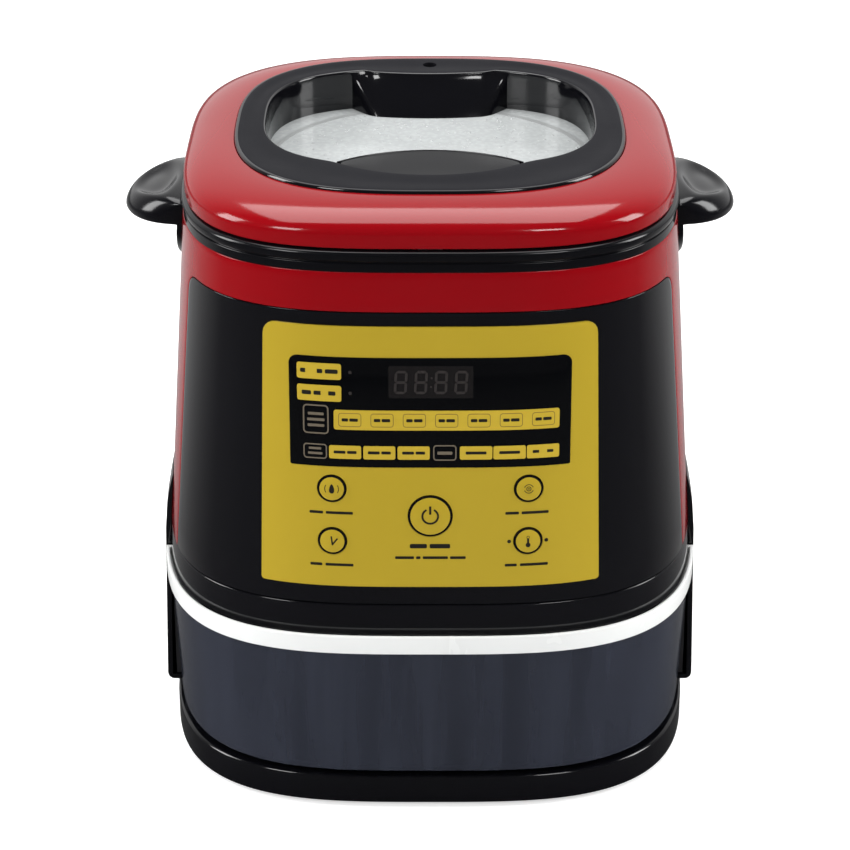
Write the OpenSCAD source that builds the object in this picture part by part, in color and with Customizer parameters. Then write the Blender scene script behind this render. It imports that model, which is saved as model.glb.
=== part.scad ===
// Electric rice cooker with a see-through water drawer under the body.
// Front is -Y, up is +Z, the origin is on the floor under the middle.

/* [Body] */
// Width of the body at its top edge
body_w = 235; // [230:1:300]
// Depth of the body at its top edge
body_d = 248; // [244:1:310]
// Height of the body from its lower edge to the rim collar
body_h = 177.5; // [172:0.5:230]
// How much wider the body is at its lower edge
flare_w = 24.6; // [10:0.2:36]
// How much deeper the body is at its lower edge
flare_d = 24; // [10:0.5:36]
// How square the body's outline is, 2 being an ellipse
squareness = 3.3; // [2.8:0.1:4.5]
// Thickness of the moulded walls
wall = 2.5; // [2:0.1:3]
// Height of the black trim below the coloured shell
trim_h = 15.5; // [10:0.5:20]
// Gap between neighbouring fixed covers
seam = 0.3; // [0.2:0.05:0.5]

/* [Front panel] */
// Distance from the middle back to the panel's side edge, forwards
panel_side_y = 75; // [60:1:85]
// Distance from the body's top edge down to the panel
panel_drop = 18.5; // [14:0.5:24]
// Radius of the panel's top corners
panel_corner = 9; // [4:0.5:16]
// Width of the control overlay at its top
overlay_w = 151; // [146:1:160]
// How much further each side of the overlay is from the middle at its lower edge
overlay_flare = 3.2; // [0:0.2:5]
// Height of the control overlay
overlay_h = 127; // [120:1:130]
// Distance from the body's lower edge up to the overlay
overlay_lift = 25.4; // [20:0.2:26]
// Thickness of the control overlay
overlay_t = 1.0; // [0.6:0.1:1.5]
// Width of the display window
display_w = 128; // [120:1:134]
// Height of the display window
display_h = 53; // [46:1:56]
// Distance from the body's lower edge up to the display window
display_lift = 85; // [84:1:88]
// Radius of the round keys
key_r = 6.5; // [5:0.5:8]
// Radius of the start key
start_key_r = 10; // [8:0.5:12]
// Distance between the left and right keys
key_pitch_x = 90; // [80:1:96]
// Distance between the upper and lower keys
key_pitch_z = 26; // [24:1:28]
// Height of the middle of the keys over the body's lower edge
key_lift = 61; // [58:1:62]
// Gap all round a key
key_gap = 0.4; // [0.3:0.05:0.6]
// Travel of a key
key_travel = 0.6; // [0.4:0.1:0.8]

/* [Base and rear housing] */
// Height of the feet under the base
foot_h = 2.5; // [2:0.5:5]
// Radius of the feet
foot_r = 10; // [7:0.5:12]
// Height of the base tray
base_h = 15; // [12:0.5:20]
// Gap from the base up to the housing and the drawer
base_gap = 3.5; // [3:0.1:6]
// Height from the base tray up to the body
bay_h = 79.5; // [70:0.5:95]
// How far the housing stands out past the body's lower edge, at its foot
housing_out = 4.4; // [3:0.1:6]
// Height that the side cheeks reach above the body's lower edge
cheek_h = 39; // [30:1:45]
// Distance from the middle forwards to the housing's front edge
housing_front = 46; // [42:1:50]
// Width of the opening for the power inlet
inlet_w = 29; // [26:0.5:32]
// Height of the opening for the power inlet
inlet_h = 24; // [20:0.5:26]

/* [Water drawer] */
// Height of the drawer's rim above its wall
tank_rim_h = 5; // [4:0.5:7]
// Height of the lip that stands up in front of the body's lower edge
tank_lip = 4.4; // [2:0.2:6]
// How far the rim stands out past the body's lower edge, at the front
tank_out = 4.5; // [3:0.1:6]
// Thickness of the drawer's wall
tank_wall = 2.5; // [2:0.1:3.5]
// Gap between the drawer and what it slides past
tank_gap = 0.4; // [0.3:0.05:1]
// How far the drawer's wall narrows towards its floor
tank_taper = 3; // [1:0.5:5]

/* [Pot and heater] */
// Outer radius of the pot
pot_r = 102; // [84:0.5:103]
// Height of the pot from its bottom to its rim
pot_h = 147; // [120:0.5:147]
// Wall thickness of the pot
pot_wall = 2; // [1:0.1:3]
// Corner radius of the pot's bottom
pot_corner = 18; // [10:1:30]
// Width of the pot's rim
pot_lip = 8; // [6:0.5:8]
// Radius of the heater plate
heater_r = 86; // [70:1:87]
// Thickness of the heater plate
heater_t = 8; // [6:0.5:9]
// Radius of the temperature sensor's cap
sensor_r = 12; // [9:0.5:13]
// Travel of the temperature sensor
sensor_travel = 2; // [1:0.5:3]

/* [Lid] */
// Height of the rim collar
collar_h = 10.2; // [9.5:0.1:13]
// Gap between the collar and the lid
lid_gap = 0.6; // [0.4:0.05:1]
// Height of the lid's upright skirt
skirt_h = 6.5; // [4:0.5:9]
// Height of the lid from its lower edge to the top shell's edge
lid_h = 17.2; // [16.8:0.1:22]
// Distance from the lid's side in to the black bezel
bezel_inset = 23.5; // [20:0.5:26]
// Height that the bezel stands over the top shell's edge
bezel_rise = 1.5; // [0.5:0.1:2]
// Half width of the recess in the lid
recess_x = 79; // [72:0.5:80]
// Half depth of the recess in the lid
recess_y = 71.5; // [66:0.5:72]
// Distance that the recess sits behind the middle
recess_back = 8.5; // [6:0.5:9]
// Thickness of the see-through window
window_t = 2.6; // [2:0.1:3]
// Half width of the release button
button_x = 42; // [36:0.5:44]
// Half depth of the release button
button_y = 16; // [13:0.5:17]
// Distance from the middle forwards to the release button
button_front = 60; // [58:0.5:62]
// Travel of the release button
button_travel = 3; // [2:0.1:3]
// Radius of the hinge pin
pin_r = 2.5; // [2:0.1:3]
// Radial clearance of the hinge pin in the lid
pin_play = 0.06; // [0.02:0.01:0.1]

/* [Handles] */
// How far a handle stands out from the body
handle_reach = 30; // [24:0.5:36]
// Half length of a handle where it meets the body
handle_half = 33; // [30:1:46]

/* [Hidden] */
$fn = 64;
ring_n = 96;
// How far one solid of a piece reaches into the next
bite = 0.5;

// Levels, from the floor up
base_top = foot_h + base_h;
tank_low = base_top + base_gap;
body_low = base_top + bay_h;
body_top = body_low + body_h;
tank_high = body_low - 3;
collar_top = body_top + collar_h;
lid_low = collar_top + lid_gap;
ridge_z = lid_low + skirt_h;
shell_top = lid_low + lid_h;
bezel_top = shell_top + bezel_rise;
deck_t = 2.5;
floor_top = body_low + deck_t;

// Outline of the body at height z
function body_x(z) = body_w / 2 + flare_w / 2 * (body_top - z) / body_h;
function body_y(z) = body_d / 2 + flare_d / 2 * (body_top - z) / body_h;
function front_y(x, z) = body_y(z) * pow(1 - pow(abs(x) / body_x(z), squareness), 1 / squareness);
function front_yaw(x, z) = atan2(front_y(x - 1, z) - front_y(x + 1, z), 2);
lean = atan2(flare_d / 2, body_h);

base_x = body_x(body_low) - 0.8;
base_y = body_y(body_low) - 3;
housing_x = body_x(body_low) + housing_out;
housing_y = body_y(body_low) + housing_out - 1;
tank_x = body_x(body_low) + tank_out - 2.3;
tank_y = body_y(body_low) + tank_out;
tank_back = housing_front + 1;

// Radial outline of a rounded square: every ring has its points at the same angles
function reach(a, b, n, t) = pow(pow(abs(cos(t)) / a, n) + pow(abs(sin(t)) / b, n), -1 / n);
function outline(a, b, n = squareness, count = ring_n) =
    [for (i = [0:count - 1]) let (t = 360 * i / count) reach(a, b, n, t) * [cos(t), sin(t)]];

// A station is [half x, half y, squareness, z, shift y]
function station_points(s, count) =
    [for (p = outline(s[0], s[1], s[2], count)) [p[0], p[1] + (len(s) > 4 ? s[4] : 0), s[3]]];

// Closed solid through a list of stations, lowest first
module loft(stations, count = ring_n) {
    rings = len(stations);
    points = [for (s = stations) each station_points(s, count)];
    low_cap = [[for (i = [0:count - 1]) i]];
    high_cap = [[for (i = [count - 1:-1:0]) (rings - 1) * count + i]];
    sides = [for (k = [0:rings - 2], i = [0:count - 1])
        let (j = (i + 1) % count, a = k * count + i, b = k * count + j)
        each [[a, a + count, b + count], [a, b + count, b]]];
    polyhedron(points = points, faces = concat(low_cap, high_cap, sides), convexity = 6);
}

module prism(a, b, n, low, high, shift = 0) {
    translate([0, shift, low]) linear_extrude(height = high - low) polygon(outline(a, b, n));
}

// Closed wall between a list of outer stations and a list of inner ones, both lowest first
module shell(outer, inner, count = ring_n) {
    loop = concat(outer, [for (k = [len(inner) - 1:-1:0]) inner[k]]);
    rings = len(loop);
    points = [for (s = loop) each station_points(s, count)];
    sides = [for (k = [0:rings - 1], i = [0:count - 1])
        let (j = (i + 1) % count, m = (k + 1) % rings)
        each [[k * count + i, m * count + i, m * count + j],
            [k * count + i, m * count + j, k * count + j]]];
    polyhedron(points = points, faces = sides, convexity = 6);
}

// Solid inside the body's outer surface, grown by a margin
module body_solid(low, high, grow = 0) {
    loft([body_station(low, grow), body_station(high, grow)]);
}

function body_station(z, grow) = [body_x(z) + grow, body_y(z) + grow, squareness, z];

module body_ring(low, high, outer, inner) {
    shell([body_station(low, outer), body_station(high, outer)],
        [body_station(low, inner), body_station(high, inner)]);
}

module ring(outer, inner, low, high) {
    translate([0, 0, low]) difference() {
        cylinder(r = outer, h = high - low);
        translate([0, 0, -1]) cylinder(r = inner, h = high - low + 2);
    }
}

module rod_z(r, low, high) {
    translate([0, 0, low]) cylinder(r = r, h = high - low);
}

module rod_x(r, low, high) {
    translate([low, 0, 0]) rotate([0, 90, 0]) cylinder(r = r, h = high - low);
}

module block(low, high) {
    translate(low) cube(high - low);
}

// Helical spring standing on z = low
module coil(mean_r, wire_r, turns, low, high, sides = 8, steps = 16) {
    count = turns * steps;
    rise = (high - low - 2 * wire_r) / count;
    points = [for (i = [0:count], k = [0:sides - 1])
        let (t = 360 * i / steps, u = 360 * k / sides, r = mean_r + wire_r * cos(u))
        [r * cos(t), r * sin(t), low + wire_r + rise * i + wire_r * sin(u)]];
    low_cap = [[for (k = [0:sides - 1]) k]];
    high_cap = [[for (k = [sides - 1:-1:0]) count * sides + k]];
    skin = [for (i = [0:count - 1], k = [0:sides - 1])
        let (a = i * sides + k, b = i * sides + (k + 1) % sides)
        each [[a, a + sides, b + sides], [a, b + sides, b]]];
    polyhedron(points = points, faces = concat(low_cap, high_cap, skin), convexity = 10);
}

module mirrored() {
    children();
    mirror([1, 0, 0]) children();
}

// ---------------------------------------------------------------- base

foot_at = [for (sx = [-1, 1], sy = [-1, 1]) [sx * (base_x - 34), sy * (base_y - 38)]];
base_screw_at = [for (sx = [-1, 1], sy = [-1, 1]) [sx * (base_x - 24), sy * (base_y - 68)]];
plate_t = 2;
stem_r = 3;
boss_r = 4;
screw_r = 1.5;

module rubber_feet() {
    color("#242226") for (p = foot_at) translate(p) {
        cylinder(r1 = foot_r - 1, r2 = foot_r, h = foot_h);
        cylinder(r = stem_r, h = foot_h + plate_t + 1.5);
    }
}

module bottom_plate() {
    inset = wall + seam;
    color("#2b2a2e") difference() {
        prism(base_x - inset, base_y - inset, squareness, foot_h, foot_h + plate_t);
        for (p = foot_at) translate(p) cylinder(r = stem_r, h = 20);
        for (p = base_screw_at) translate(p) cylinder(r = screw_r + 0.2, h = 20);
        for (i = [-3:3]) translate([12 * i, 0, 0]) hull() {
            translate([0, -24, 0]) cylinder(r = 2, h = 20, $fn = 24);
            translate([0, 24, 0]) cylinder(r = 2, h = 20, $fn = 24);
        }
    }
}

module bottom_screws() {
    color("silver") for (p = base_screw_at) translate(p) {
        rod_z(screw_r * 2, foot_h - 1.4, foot_h);
        rod_z(screw_r, foot_h - 0.1, foot_h + base_h - 5);
    }
}

runner_x = base_x * 0.47;
runner_half = 3;

module base_tray() {
    edge = 2;
    color("#18151c") {
        difference() {
            loft([[base_x - edge, base_y - edge, squareness, foot_h],
                [base_x, base_y, squareness, foot_h + edge * 1.5],
                [base_x, base_y, squareness, base_top - edge],
                [base_x - edge * 0.3, base_y - edge * 0.3, squareness, base_top - edge * 0.3],
                [base_x - edge, base_y - edge, squareness, base_top]]);
            prism(base_x - wall, base_y - wall, squareness, foot_h - 1, base_top - deck_t);
        }
        for (p = base_screw_at) translate([p[0], p[1], foot_h + plate_t]) difference() {
            cylinder(r = boss_r, h = base_h - plate_t - deck_t + bite);
            translate([0, 0, -1]) cylinder(r = screw_r + 0.1, h = base_h - plate_t - deck_t);
        }
        mirrored() for (side = [0, 1])
            translate([runner_x - runner_half - 2.5 + side * (2 * runner_half + 3),
                -tank_y + 22, base_top - bite])
                cube([2, tank_y - tank_back - 28, 1.8]);
    }
}

// ---------------------------------------------------------------- rear housing

cheek_top = body_low + cheek_h;
cheek_full = body_low + cheek_h * 0.54;
cheek_tip = cheek_full + cheek_h * 0.26;
inlet_z = tank_low + 27;
foot_round = 3;

// Removes what lies in front of the housing's front edge
module behind_drawer() {
    difference() {
        children();
        block([-2 * housing_x, -2 * housing_y, 0], [2 * housing_x, -housing_front, 2 * body_low]);
    }
}

module rear_housing() {
    ledge = 14;
    inner_low = tank_low + wall;
    outer = [[housing_x - foot_round, housing_y - foot_round, squareness, tank_low],
        [housing_x - foot_round * 0.3, housing_y - foot_round * 0.3, squareness,
            tank_low + foot_round * 0.4],
        [housing_x, housing_y, squareness, tank_low + foot_round * 1.3],
        body_station(cheek_full, wall + 0.3),
        body_station(cheek_tip, wall * 0.75),
        body_station(cheek_top, 0.6)];
    inner = [[housing_x - ledge, housing_y - ledge, squareness, tank_low],
        [housing_x - ledge, housing_y - ledge, squareness, inner_low],
        [housing_x - wall, housing_y - wall, squareness, inner_low],
        body_station(body_low, 0.1),
        body_station(cheek_top, 0.1)];
    color("#17161a") difference() {
        behind_drawer() shell(outer, inner);
        block([-inlet_w / 2, 0, inlet_z - inlet_h / 2],
            [inlet_w / 2, 2 * housing_y, inlet_z + inlet_h / 2]);
    }
}

// Short neck between the base and the housing
module housing_neck() {
    neck = 6;
    color("#1d1c20") behind_drawer() difference() {
        prism(housing_x - neck, housing_y - neck, squareness, base_top, tank_low);
        prism(housing_x - neck - wall, housing_y - neck - wall, squareness, 0, body_low);
    }
}

// Deck the body is screwed to
module housing_deck() {
    color("#1d1c20") difference() {
        behind_drawer()
            prism(body_x(body_low) - 0.1, body_y(body_low) - 0.1, squareness, body_low - deck_t, body_low);
        for (p = body_screw_at) translate(p) cylinder(r = screw_r + 0.4, h = 2 * body_low);
        translate([0, 30, 0]) cylinder(r = 24, h = 2 * body_low);
    }
}

module bay_wall() {
    back = housing_front - 2;
    color("#1d1c20") intersection() {
        prism(body_x(body_low) - 0.1, body_y(body_low), squareness, tank_low + wall, body_low - deck_t);
        block([-housing_x, -back, 0], [housing_x, -back + wall, body_low]);
    }
}

// ---------------------------------------------------------------- body

drain_y = -(heater_r + 11);
spout_r = 6;
post_r = 4;
body_screw_at = [for (sx = [-1, 1], p = [[60, 60], [85, -20]]) [sx * p[0], p[1]]];
front_post_at = [for (sx = [-1, 1]) [sx * 60, -60]];
liner_z = floor_top + 18.5;
liner_t = 1.2;

module body_floor() {
    fit = wall + 0.2;
    color("#2a292d") difference() {
        union() {
            prism(body_x(floor_top) - fit, body_y(floor_top) - fit, squareness, body_low, floor_top);
            for (p = concat(body_screw_at, front_post_at)) translate(p)
                rod_z(post_r, body_low + 1, liner_z);
        }
        for (p = body_screw_at) translate(p) rod_z(screw_r + 0.1, body_low - 1, floor_top + 9);
        translate([0, drain_y, 0]) rod_z(spout_r + 0.1, 0, body_top);
        translate([0, 84, 0]) rod_z(9, 0, body_top);
    }
}

module body_screws() {
    color("silver") for (p = body_screw_at) translate(p) {
        rod_z(screw_r * 2, body_low - deck_t - 1.6, body_low - deck_t);
        rod_z(screw_r, body_low - deck_t - 0.1, floor_top + 8);
    }
}

trim_top = body_low + trim_h;
shell_low = trim_top + seam * 2;
panel_top = body_top - panel_drop;

module lower_trim() {
    color("#1b1a1f") body_ring(body_low, trim_top, 0, -wall);
}

// The front opening of the shell, seen from the side and pushed through along X
module front_cut(inset = 0) {
    r = panel_corner;
    reach_x = body_w;
    translate([-reach_x, 0, 0]) rotate([90, 0, 90]) linear_extrude(height = 2 * reach_x) {
        translate([-body_d, body_low])
            square([body_d - panel_side_y - r - inset, panel_top - body_low - inset]);
        translate([-body_d, body_low])
            square([body_d - panel_side_y - inset, panel_top - body_low - r - inset]);
        translate([-panel_side_y - r - inset, panel_top - r - inset]) circle(r = r);
    }
}

handle_z = body_top - 12.5;
handle_screw_y = 16;
handle_screw_z = handle_z + 3;

module body_shell() {
    color("#86101c") difference() {
        body_ring(shell_low, body_top, 0, -wall);
        front_cut();
        for (sy = [-1, 1]) translate([0, sy * handle_screw_y, handle_screw_z]) rod_x(2.05, -body_w, body_w);
    }
}

// Frame on the front surface at (x, z): +Z points straight out of the panel
module on_front(x, z) {
    translate([x, -front_y(x, z), z]) rotate([0, 0, front_yaw(x, z)]) rotate([90 - lean, 0, 0]) children();
}

key_z = body_low + key_lift;
key_at = [for (sx = [-1, 1], sz = [1, -1]) [sx * key_pitch_x / 2, key_z + sz * key_pitch_z / 2]];
display_z = body_low + display_lift;
board_y = -(pot_r + 10.7);
board_half = 58;
board_low = body_low + 30;
board_high = body_low + 147;
board_t = 1.6;

module key_holes() {
    for (k = key_at) on_front(k[0], k[1]) rod_z(key_r + key_gap, -12, 12);
    on_front(0, key_z) rod_z(start_key_r + key_gap, -12, 12);
}

module display_cut(grow = 0) {
    block([-display_w / 2 - grow, -body_d, display_z - grow],
        [display_w / 2 + grow, 0, display_z + display_h + grow]);
}

module front_panel() {
    color("#0c0c0f") {
        difference() {
            intersection() {
                body_ring(shell_low, panel_top, -0.2, -wall);
                front_cut(seam);
            }
            key_holes();
            display_cut(-8);
        }
        for (sx = [-1, 1], z = [board_low + 5, board_high - 4])
            translate([sx * (board_half - 4), 0, z]) rotate([90, 0, 0])
                rod_z(2.5, -board_y, front_y(board_half, z) - wall * 0.6);
    }
}

module rounded_front(w, low, high, low_r, high_r, flare = 0) {
    rotate([90, 0, 0]) linear_extrude(height = body_d) hull() for (sx = [-1, 1]) {
        translate([sx * (w / 2 + flare - low_r), low + low_r]) circle(r = low_r, $fn = 24);
        translate([sx * (w / 2 - high_r), high - high_r]) circle(r = high_r, $fn = 32);
    }
}

module control_overlay() {
    low = body_low + overlay_lift;
    color("#c2a32f") difference() {
        intersection() {
            body_ring(low - 5, low + overlay_h + 5, overlay_t, -0.1);
            rounded_front(overlay_w, low, low + overlay_h, 1.5, 6, overlay_flare);
        }
        key_holes();
        display_cut(0.2);
    }
}

module display_window() {
    color("#08090b") intersection() {
        body_ring(display_z - 5, display_z + display_h + 5, overlay_t + 0.2, -0.1);
        rounded_front(display_w, display_z, display_z + display_h, 0.6, 4);
    }
}

module display_module() {
    color("#26222a") block([-54, board_y - 6, display_z + 3], [54, board_y, display_z + display_h - 4]);
}

switch_r = 3.5;
key_depth = 6;

function stem_end(x, z) = front_y(x, z) + board_y;

module control_board() {
    color("#1d5b38") block([-board_half, board_y, board_low], [board_half, board_y + board_t, board_high]);
    color("#303034") for (k = concat(key_at, [[0, key_z]]))
        translate([k[0], board_y + bite, k[1] - 1]) rotate([90, 0, 0]) cylinder(r = switch_r, h = 4.5);
}

module key_body(x, z, r) {
    gap_to_switch = key_travel + 0.5;
    color("#1a1a1e") on_front(x, z) {
        rod_z(r, -key_depth, overlay_t + 0.4);
        rod_z(r + 1, -key_depth - 1, -key_depth + 1);
        rod_z(2, -(stem_end(x, z) - 4.5 - gap_to_switch), -key_depth);
    }
}

module key_upper_left() { key_body(key_at[0][0], key_at[0][1], key_r); }

module key_lower_left() { key_body(key_at[1][0], key_at[1][1], key_r); }

module key_upper_right() { key_body(key_at[2][0], key_at[2][1], key_r); }

module key_lower_right() { key_body(key_at[3][0], key_at[3][1], key_r); }

module key_start() { key_body(0, key_z, start_key_r); }

// ---------------------------------------------------------------- collar, pot and heater

rim_z = collar_top - 5.7;
lip_t = 2;
pot_low = rim_z + lip_t - pot_h;
lip_r = pot_r + pot_lip;
collar_bore = pot_r + 2.5;
collar_step = lip_r + 1.5;
heater_low = pot_low - heater_t;
latch_y = -(body_d / 2 - 5);
slot_half = 8;

module rim_collar() {
    edge = 1.6;
    color("#141418") difference() {
        loft([[body_w / 2 - 0.2, body_d / 2 - 0.2, squareness, body_top],
            [body_w / 2 - 0.2, body_d / 2 - 0.2, squareness, collar_top - edge],
            [body_w / 2 - 0.2 - edge * 0.4, body_d / 2 - 0.2 - edge * 0.4, squareness,
                collar_top - edge * 0.4],
            [body_w / 2 - 0.2 - edge, body_d / 2 - 0.2 - edge, squareness, collar_top]]);
        rod_z(collar_bore, body_top - 1, collar_top + 1);
        rod_z(collar_step, rim_z, collar_top + 1);
        block([-slot_half, latch_y - 3.2, body_top + 1], [slot_half, -lip_r + 1, collar_top + 1]);
    }
}

module latch_striker() {
    color("silver") block([-slot_half, latch_y - 3.2, rim_z], [slot_half, latch_y, rim_z + 1.6]);
}

module chamber_liner() {
    outer = pot_r + 6.5;
    color("#c9ccd0") {
        ring(outer, outer - 1, liner_z, body_top);
        difference() {
            rod_z(outer, liner_z, liner_z + liner_t);
            rod_z(20, 0, body_top);
            translate([0, drain_y, 0]) rod_z(5, 0, body_top);
            for (sx = [-1, 1]) translate([sx * 8, element_r, 0]) rod_z(4, 0, body_top);
        }
    }
}

element_r = heater_r * 0.7;

module heater_plate() {
    color("#a9adb2") {
        ring(heater_r, sensor_r + 3, heater_low, pot_low);
        for (a = [0:120:240]) rotate([0, 0, a]) translate([0, heater_r - 9, 0])
            rod_z(4, liner_z + liner_t, heater_low + bite);
    }
}

module heater_element() {
    thick = 5;
    color("#5c5f66") {
        difference() {
            ring(element_r + 3, element_r - 3, heater_low - thick, heater_low);
            block([-5, 0, 0], [5, body_d, body_top]);
        }
        for (sx = [-1, 1]) translate([sx * 8, element_r, 0])
            rod_z(1.5, liner_z - 7, heater_low - thick + 1);
    }
}

module cup_profile(r, low, high, corner) {
    translate([0, low + corner]) square([r, high - low - corner]);
    translate([0, low]) square([r - corner, corner + bite]);
    intersection() {
        translate([r - corner, low + corner]) circle(r = corner);
        translate([r - corner - bite, low]) square([corner + 1, corner + 1]);
    }
}

module cup(r, low, high, corner, thick) {
    rotate_extrude() difference() {
        cup_profile(r, low, high, corner);
        cup_profile(r - thick, low + thick, high + 1, corner - thick);
    }
}

module inner_pot() {
    color("#8d9094") {
        cup(pot_r, pot_low, rim_z + lip_t, pot_corner, pot_wall);
        ring(lip_r, pot_r - pot_wall, rim_z, rim_z + lip_t);
    }
}

basket_low = pot_low + 18;

module rice_basket() {
    r = pot_r - pot_wall - 3;
    lip_z = rim_z + lip_t;
    color("#d4d6d8") difference() {
        union() {
            cup(r, basket_low, lip_z + 1.2, 12, 1.2);
            ring(lip_r - 4.5, r - 1.2, lip_z, lip_z + 1.2);
        }
        for (row = [[28, 8], [54, 14], [78, 20]], i = [0:row[1] - 1])
            rotate([0, 0, 360 * i / row[1]]) translate([row[0] * r / 97, 0, 0])
                rod_z(2.5, basket_low - 1, basket_low + 3);
    }
}

guide_top = floor_top + 12.5;
stem_play = 0.06;

module sensor_guide() {
    color("#3a3a40") difference() {
        union() {
            rod_z(16, floor_top, floor_top + 2);
            rod_z(9, floor_top, guide_top);
        }
        rod_z(3 + stem_play, floor_top + 1, body_top);
    }
}

sensor_top = pot_low - 0.4;

module sensor_plunger() {
    color("#b9bcc0") {
        rod_z(sensor_r, sensor_top - 2, sensor_top);
        rod_z(3, floor_top + 1.5 + sensor_travel, sensor_top - 1);
    }
}

module sensor_spring() {
    color("silver") coil(6.8, 0.6, 5, guide_top + 0.05, sensor_top - 2.05);
}

valve_z = floor_top + 6.4;
valve_top = floor_top + 12.5;
plunger_r = 3;
plunger_travel = 6.5;

module drain_cup() {
    color("#d9d9d6") translate([0, drain_y, 0]) difference() {
        rod_z(9, valve_top, liner_z);
        translate([0, 0, valve_top - bite]) cylinder(r1 = 2.5, r2 = 7, h = liner_z - valve_top + 2 * bite);
    }
}

module drain_valve() {
    color("#e4e3df") translate([0, drain_y, 0]) difference() {
        block([-9, -9, floor_top], [9, 9, valve_top]);
        rod_z(2.5, 0, body_top);
        translate([0, 0, valve_z]) rod_x(plunger_r + stem_play, -5, 20);
    }
}

module valve_coil() {
    color("#9b5a2c") translate([0, drain_y, valve_z]) difference() {
        rod_x(6.2, 9, 37);
        rod_x(plunger_r + stem_play, 8, 28.5 + plunger_travel);
    }
}

module valve_plunger() {
    color("#8f9297") translate([0, drain_y, valve_z]) rod_x(plunger_r, -4, 27);
}

module drain_spout() {
    color("#d9d9d6") translate([0, drain_y, 0]) ring(spout_r, 3, tank_high + 1.5, floor_top);
}

// ---------------------------------------------------------------- power

module power_board() {
    y = 58;
    low = base_top;
    color("#1d5b38") block([-52, y, low], [52, y + 1.6, body_low - 10]);
    color("#2c2c30") {
        block([-46, y - 16, low + 14], [-22, y + bite, low + 44]);
        block([4, y - 14, low + 30], [26, y + bite, low + 46]);
    }
    color("#3a5f9b") translate([-4, y + bite, low + 22]) rotate([90, 0, 0]) cylinder(r = 7, h = 22);
    color("#c9c9c4") block([32, y - 9, low + 12], [46, y + bite, low + 60]);
}

module power_inlet() {
    play = 0.3;
    out_y = housing_y - 1.2;
    color("#101013") translate([0, 0, inlet_z]) difference() {
        union() {
            block([-inlet_w / 2 + play, out_y - 20, -inlet_h / 2 + play],
                [inlet_w / 2 - play, out_y, inlet_h / 2 - play]);
            block([-inlet_w / 2 - 4, out_y - 6, -inlet_h / 2 - 3.5],
                [inlet_w / 2 + 4, out_y - 3.2, inlet_h / 2 + 3.5]);
        }
        block([-inlet_w / 2 + 2.6, out_y - 17, -inlet_h / 2 + 3],
            [inlet_w / 2 - 2.6, out_y + 1, inlet_h / 2 - 3]);
    }
}

module inlet_pins() {
    out_y = housing_y - 1.2;
    color("#c8c2ae") for (p = [[-7, -2], [7, -2], [0, 3]])
        translate([p[0] - 1, out_y - 17, inlet_z + p[1] - 2]) cube([2, 13, 4]);
}

// ---------------------------------------------------------------- handles

// Stations of a handle's wing as shares of its reach: [out, half length, low, high]
handle_stations = [[-0.1, 1.0, -3.6, 14.6], [0.3, 0.94, -2.7, 15.4], [0.5, 0.86, -2.3, 14.9],
    [0.7, 0.71, -1.9, 13], [0.86, 0.5, -1.1, 9.4], [0.97, 0.26, 0.2, 4.6]];
// Right half of the leaf under the wing: [share of the half length, height]
leaf_half = [[0.96, 3], [0.9, -7], [0.6, -14], [0.3, -20.5], [0.06, -26]];
leaf_t = 2.8;

module handle_leaf() {
    outline = concat([for (p = leaf_half) [p[0] * handle_half, p[1]]],
        [for (k = [len(leaf_half) - 1:-1:0]) [-leaf_half[k][0] * handle_half, leaf_half[k][1]]]);
    intersection() {
        body_solid(body_low, body_top, leaf_t);
        translate([0, 0, handle_z]) rotate([90, 0, 90]) linear_extrude(height = body_w) polygon(outline);
    }
}

module handle_right() {
    root = body_x(handle_z);
    dish = handle_reach * 0.3;
    color("#131316") difference() {
        union() {
            rotate([90, 0, 90]) loft([for (h = handle_stations)
                [handle_half * h[1], (h[3] - h[2]) / 2, 2.4, root + handle_reach * h[0],
                    handle_z + (h[2] + h[3]) / 2]], 48);
            handle_leaf();
        }
        body_solid(body_low, collar_top + 5, 0.05);
        prism(body_w / 2 - 0.1, body_d / 2 - 0.1, squareness, body_top - 1, collar_top + 5);
        translate([root + handle_reach * 0.5, 0, handle_z + 22.6]) rotate([0, 24, 0])
            scale([1, 2, 1]) sphere(r = dish + 3.5, $fn = 40);
        for (sy = [-1, 1]) translate([0, sy * handle_screw_y, handle_screw_z]) rod_x(2.02, 0, root + 9);
    }
}

module handle_left() { mirror([1, 0, 0]) handle_right(); }

module handle_screws() {
    inside = body_x(handle_z) - wall;
    color("silver") mirrored() for (sy = [-1, 1]) translate([0, sy * handle_screw_y, handle_screw_z]) {
        rod_x(3.6, inside - 3.4, inside - 1.2);
        rod_x(2, inside - 1.3, inside + wall + 8);
    }
}

// ---------------------------------------------------------------- hinge

hinge_y = body_d / 2 + 7;
hinge_z = collar_top - 1.7;
knuckle_r = 6;
barrel_half = 16;
lug_in = 24;
lug_out = 30;

module hinge_bracket() {
    low = body_top - 16;
    color("#151519") difference() {
        union() {
            block([-lug_out, body_d / 2 + 1.3, low],
                [lug_out, hinge_y + knuckle_r - 1, hinge_z - knuckle_r - 0.6]);
            for (sx = [-1, 1]) translate([sx > 0 ? lug_in : -lug_out, 0, 0]) {
                block([0, body_d / 2 + 1.3, low + 2], [lug_out - lug_in, hinge_y + knuckle_r - 1, hinge_z]);
                translate([0, hinge_y, hinge_z]) rod_x(knuckle_r, 0, lug_out - lug_in);
            }
        }
        translate([0, hinge_y, hinge_z]) rod_x(pin_r, -lug_out - 1, lug_out + 1);
        body_solid(body_low, collar_top + 5, 0.05);
    }
}

module hinge_pin() {
    color("silver") translate([0, hinge_y, hinge_z]) rod_x(pin_r, -lug_out - 1, lug_out + 1);
}

module hinge_spring() {
    color("silver") mirrored() translate([0, hinge_y, hinge_z]) rotate([0, 90, 0])
        coil(4, 0.6, 4, barrel_half + 0.5, lug_in - 0.2);
}

// ---------------------------------------------------------------- water drawer

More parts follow.
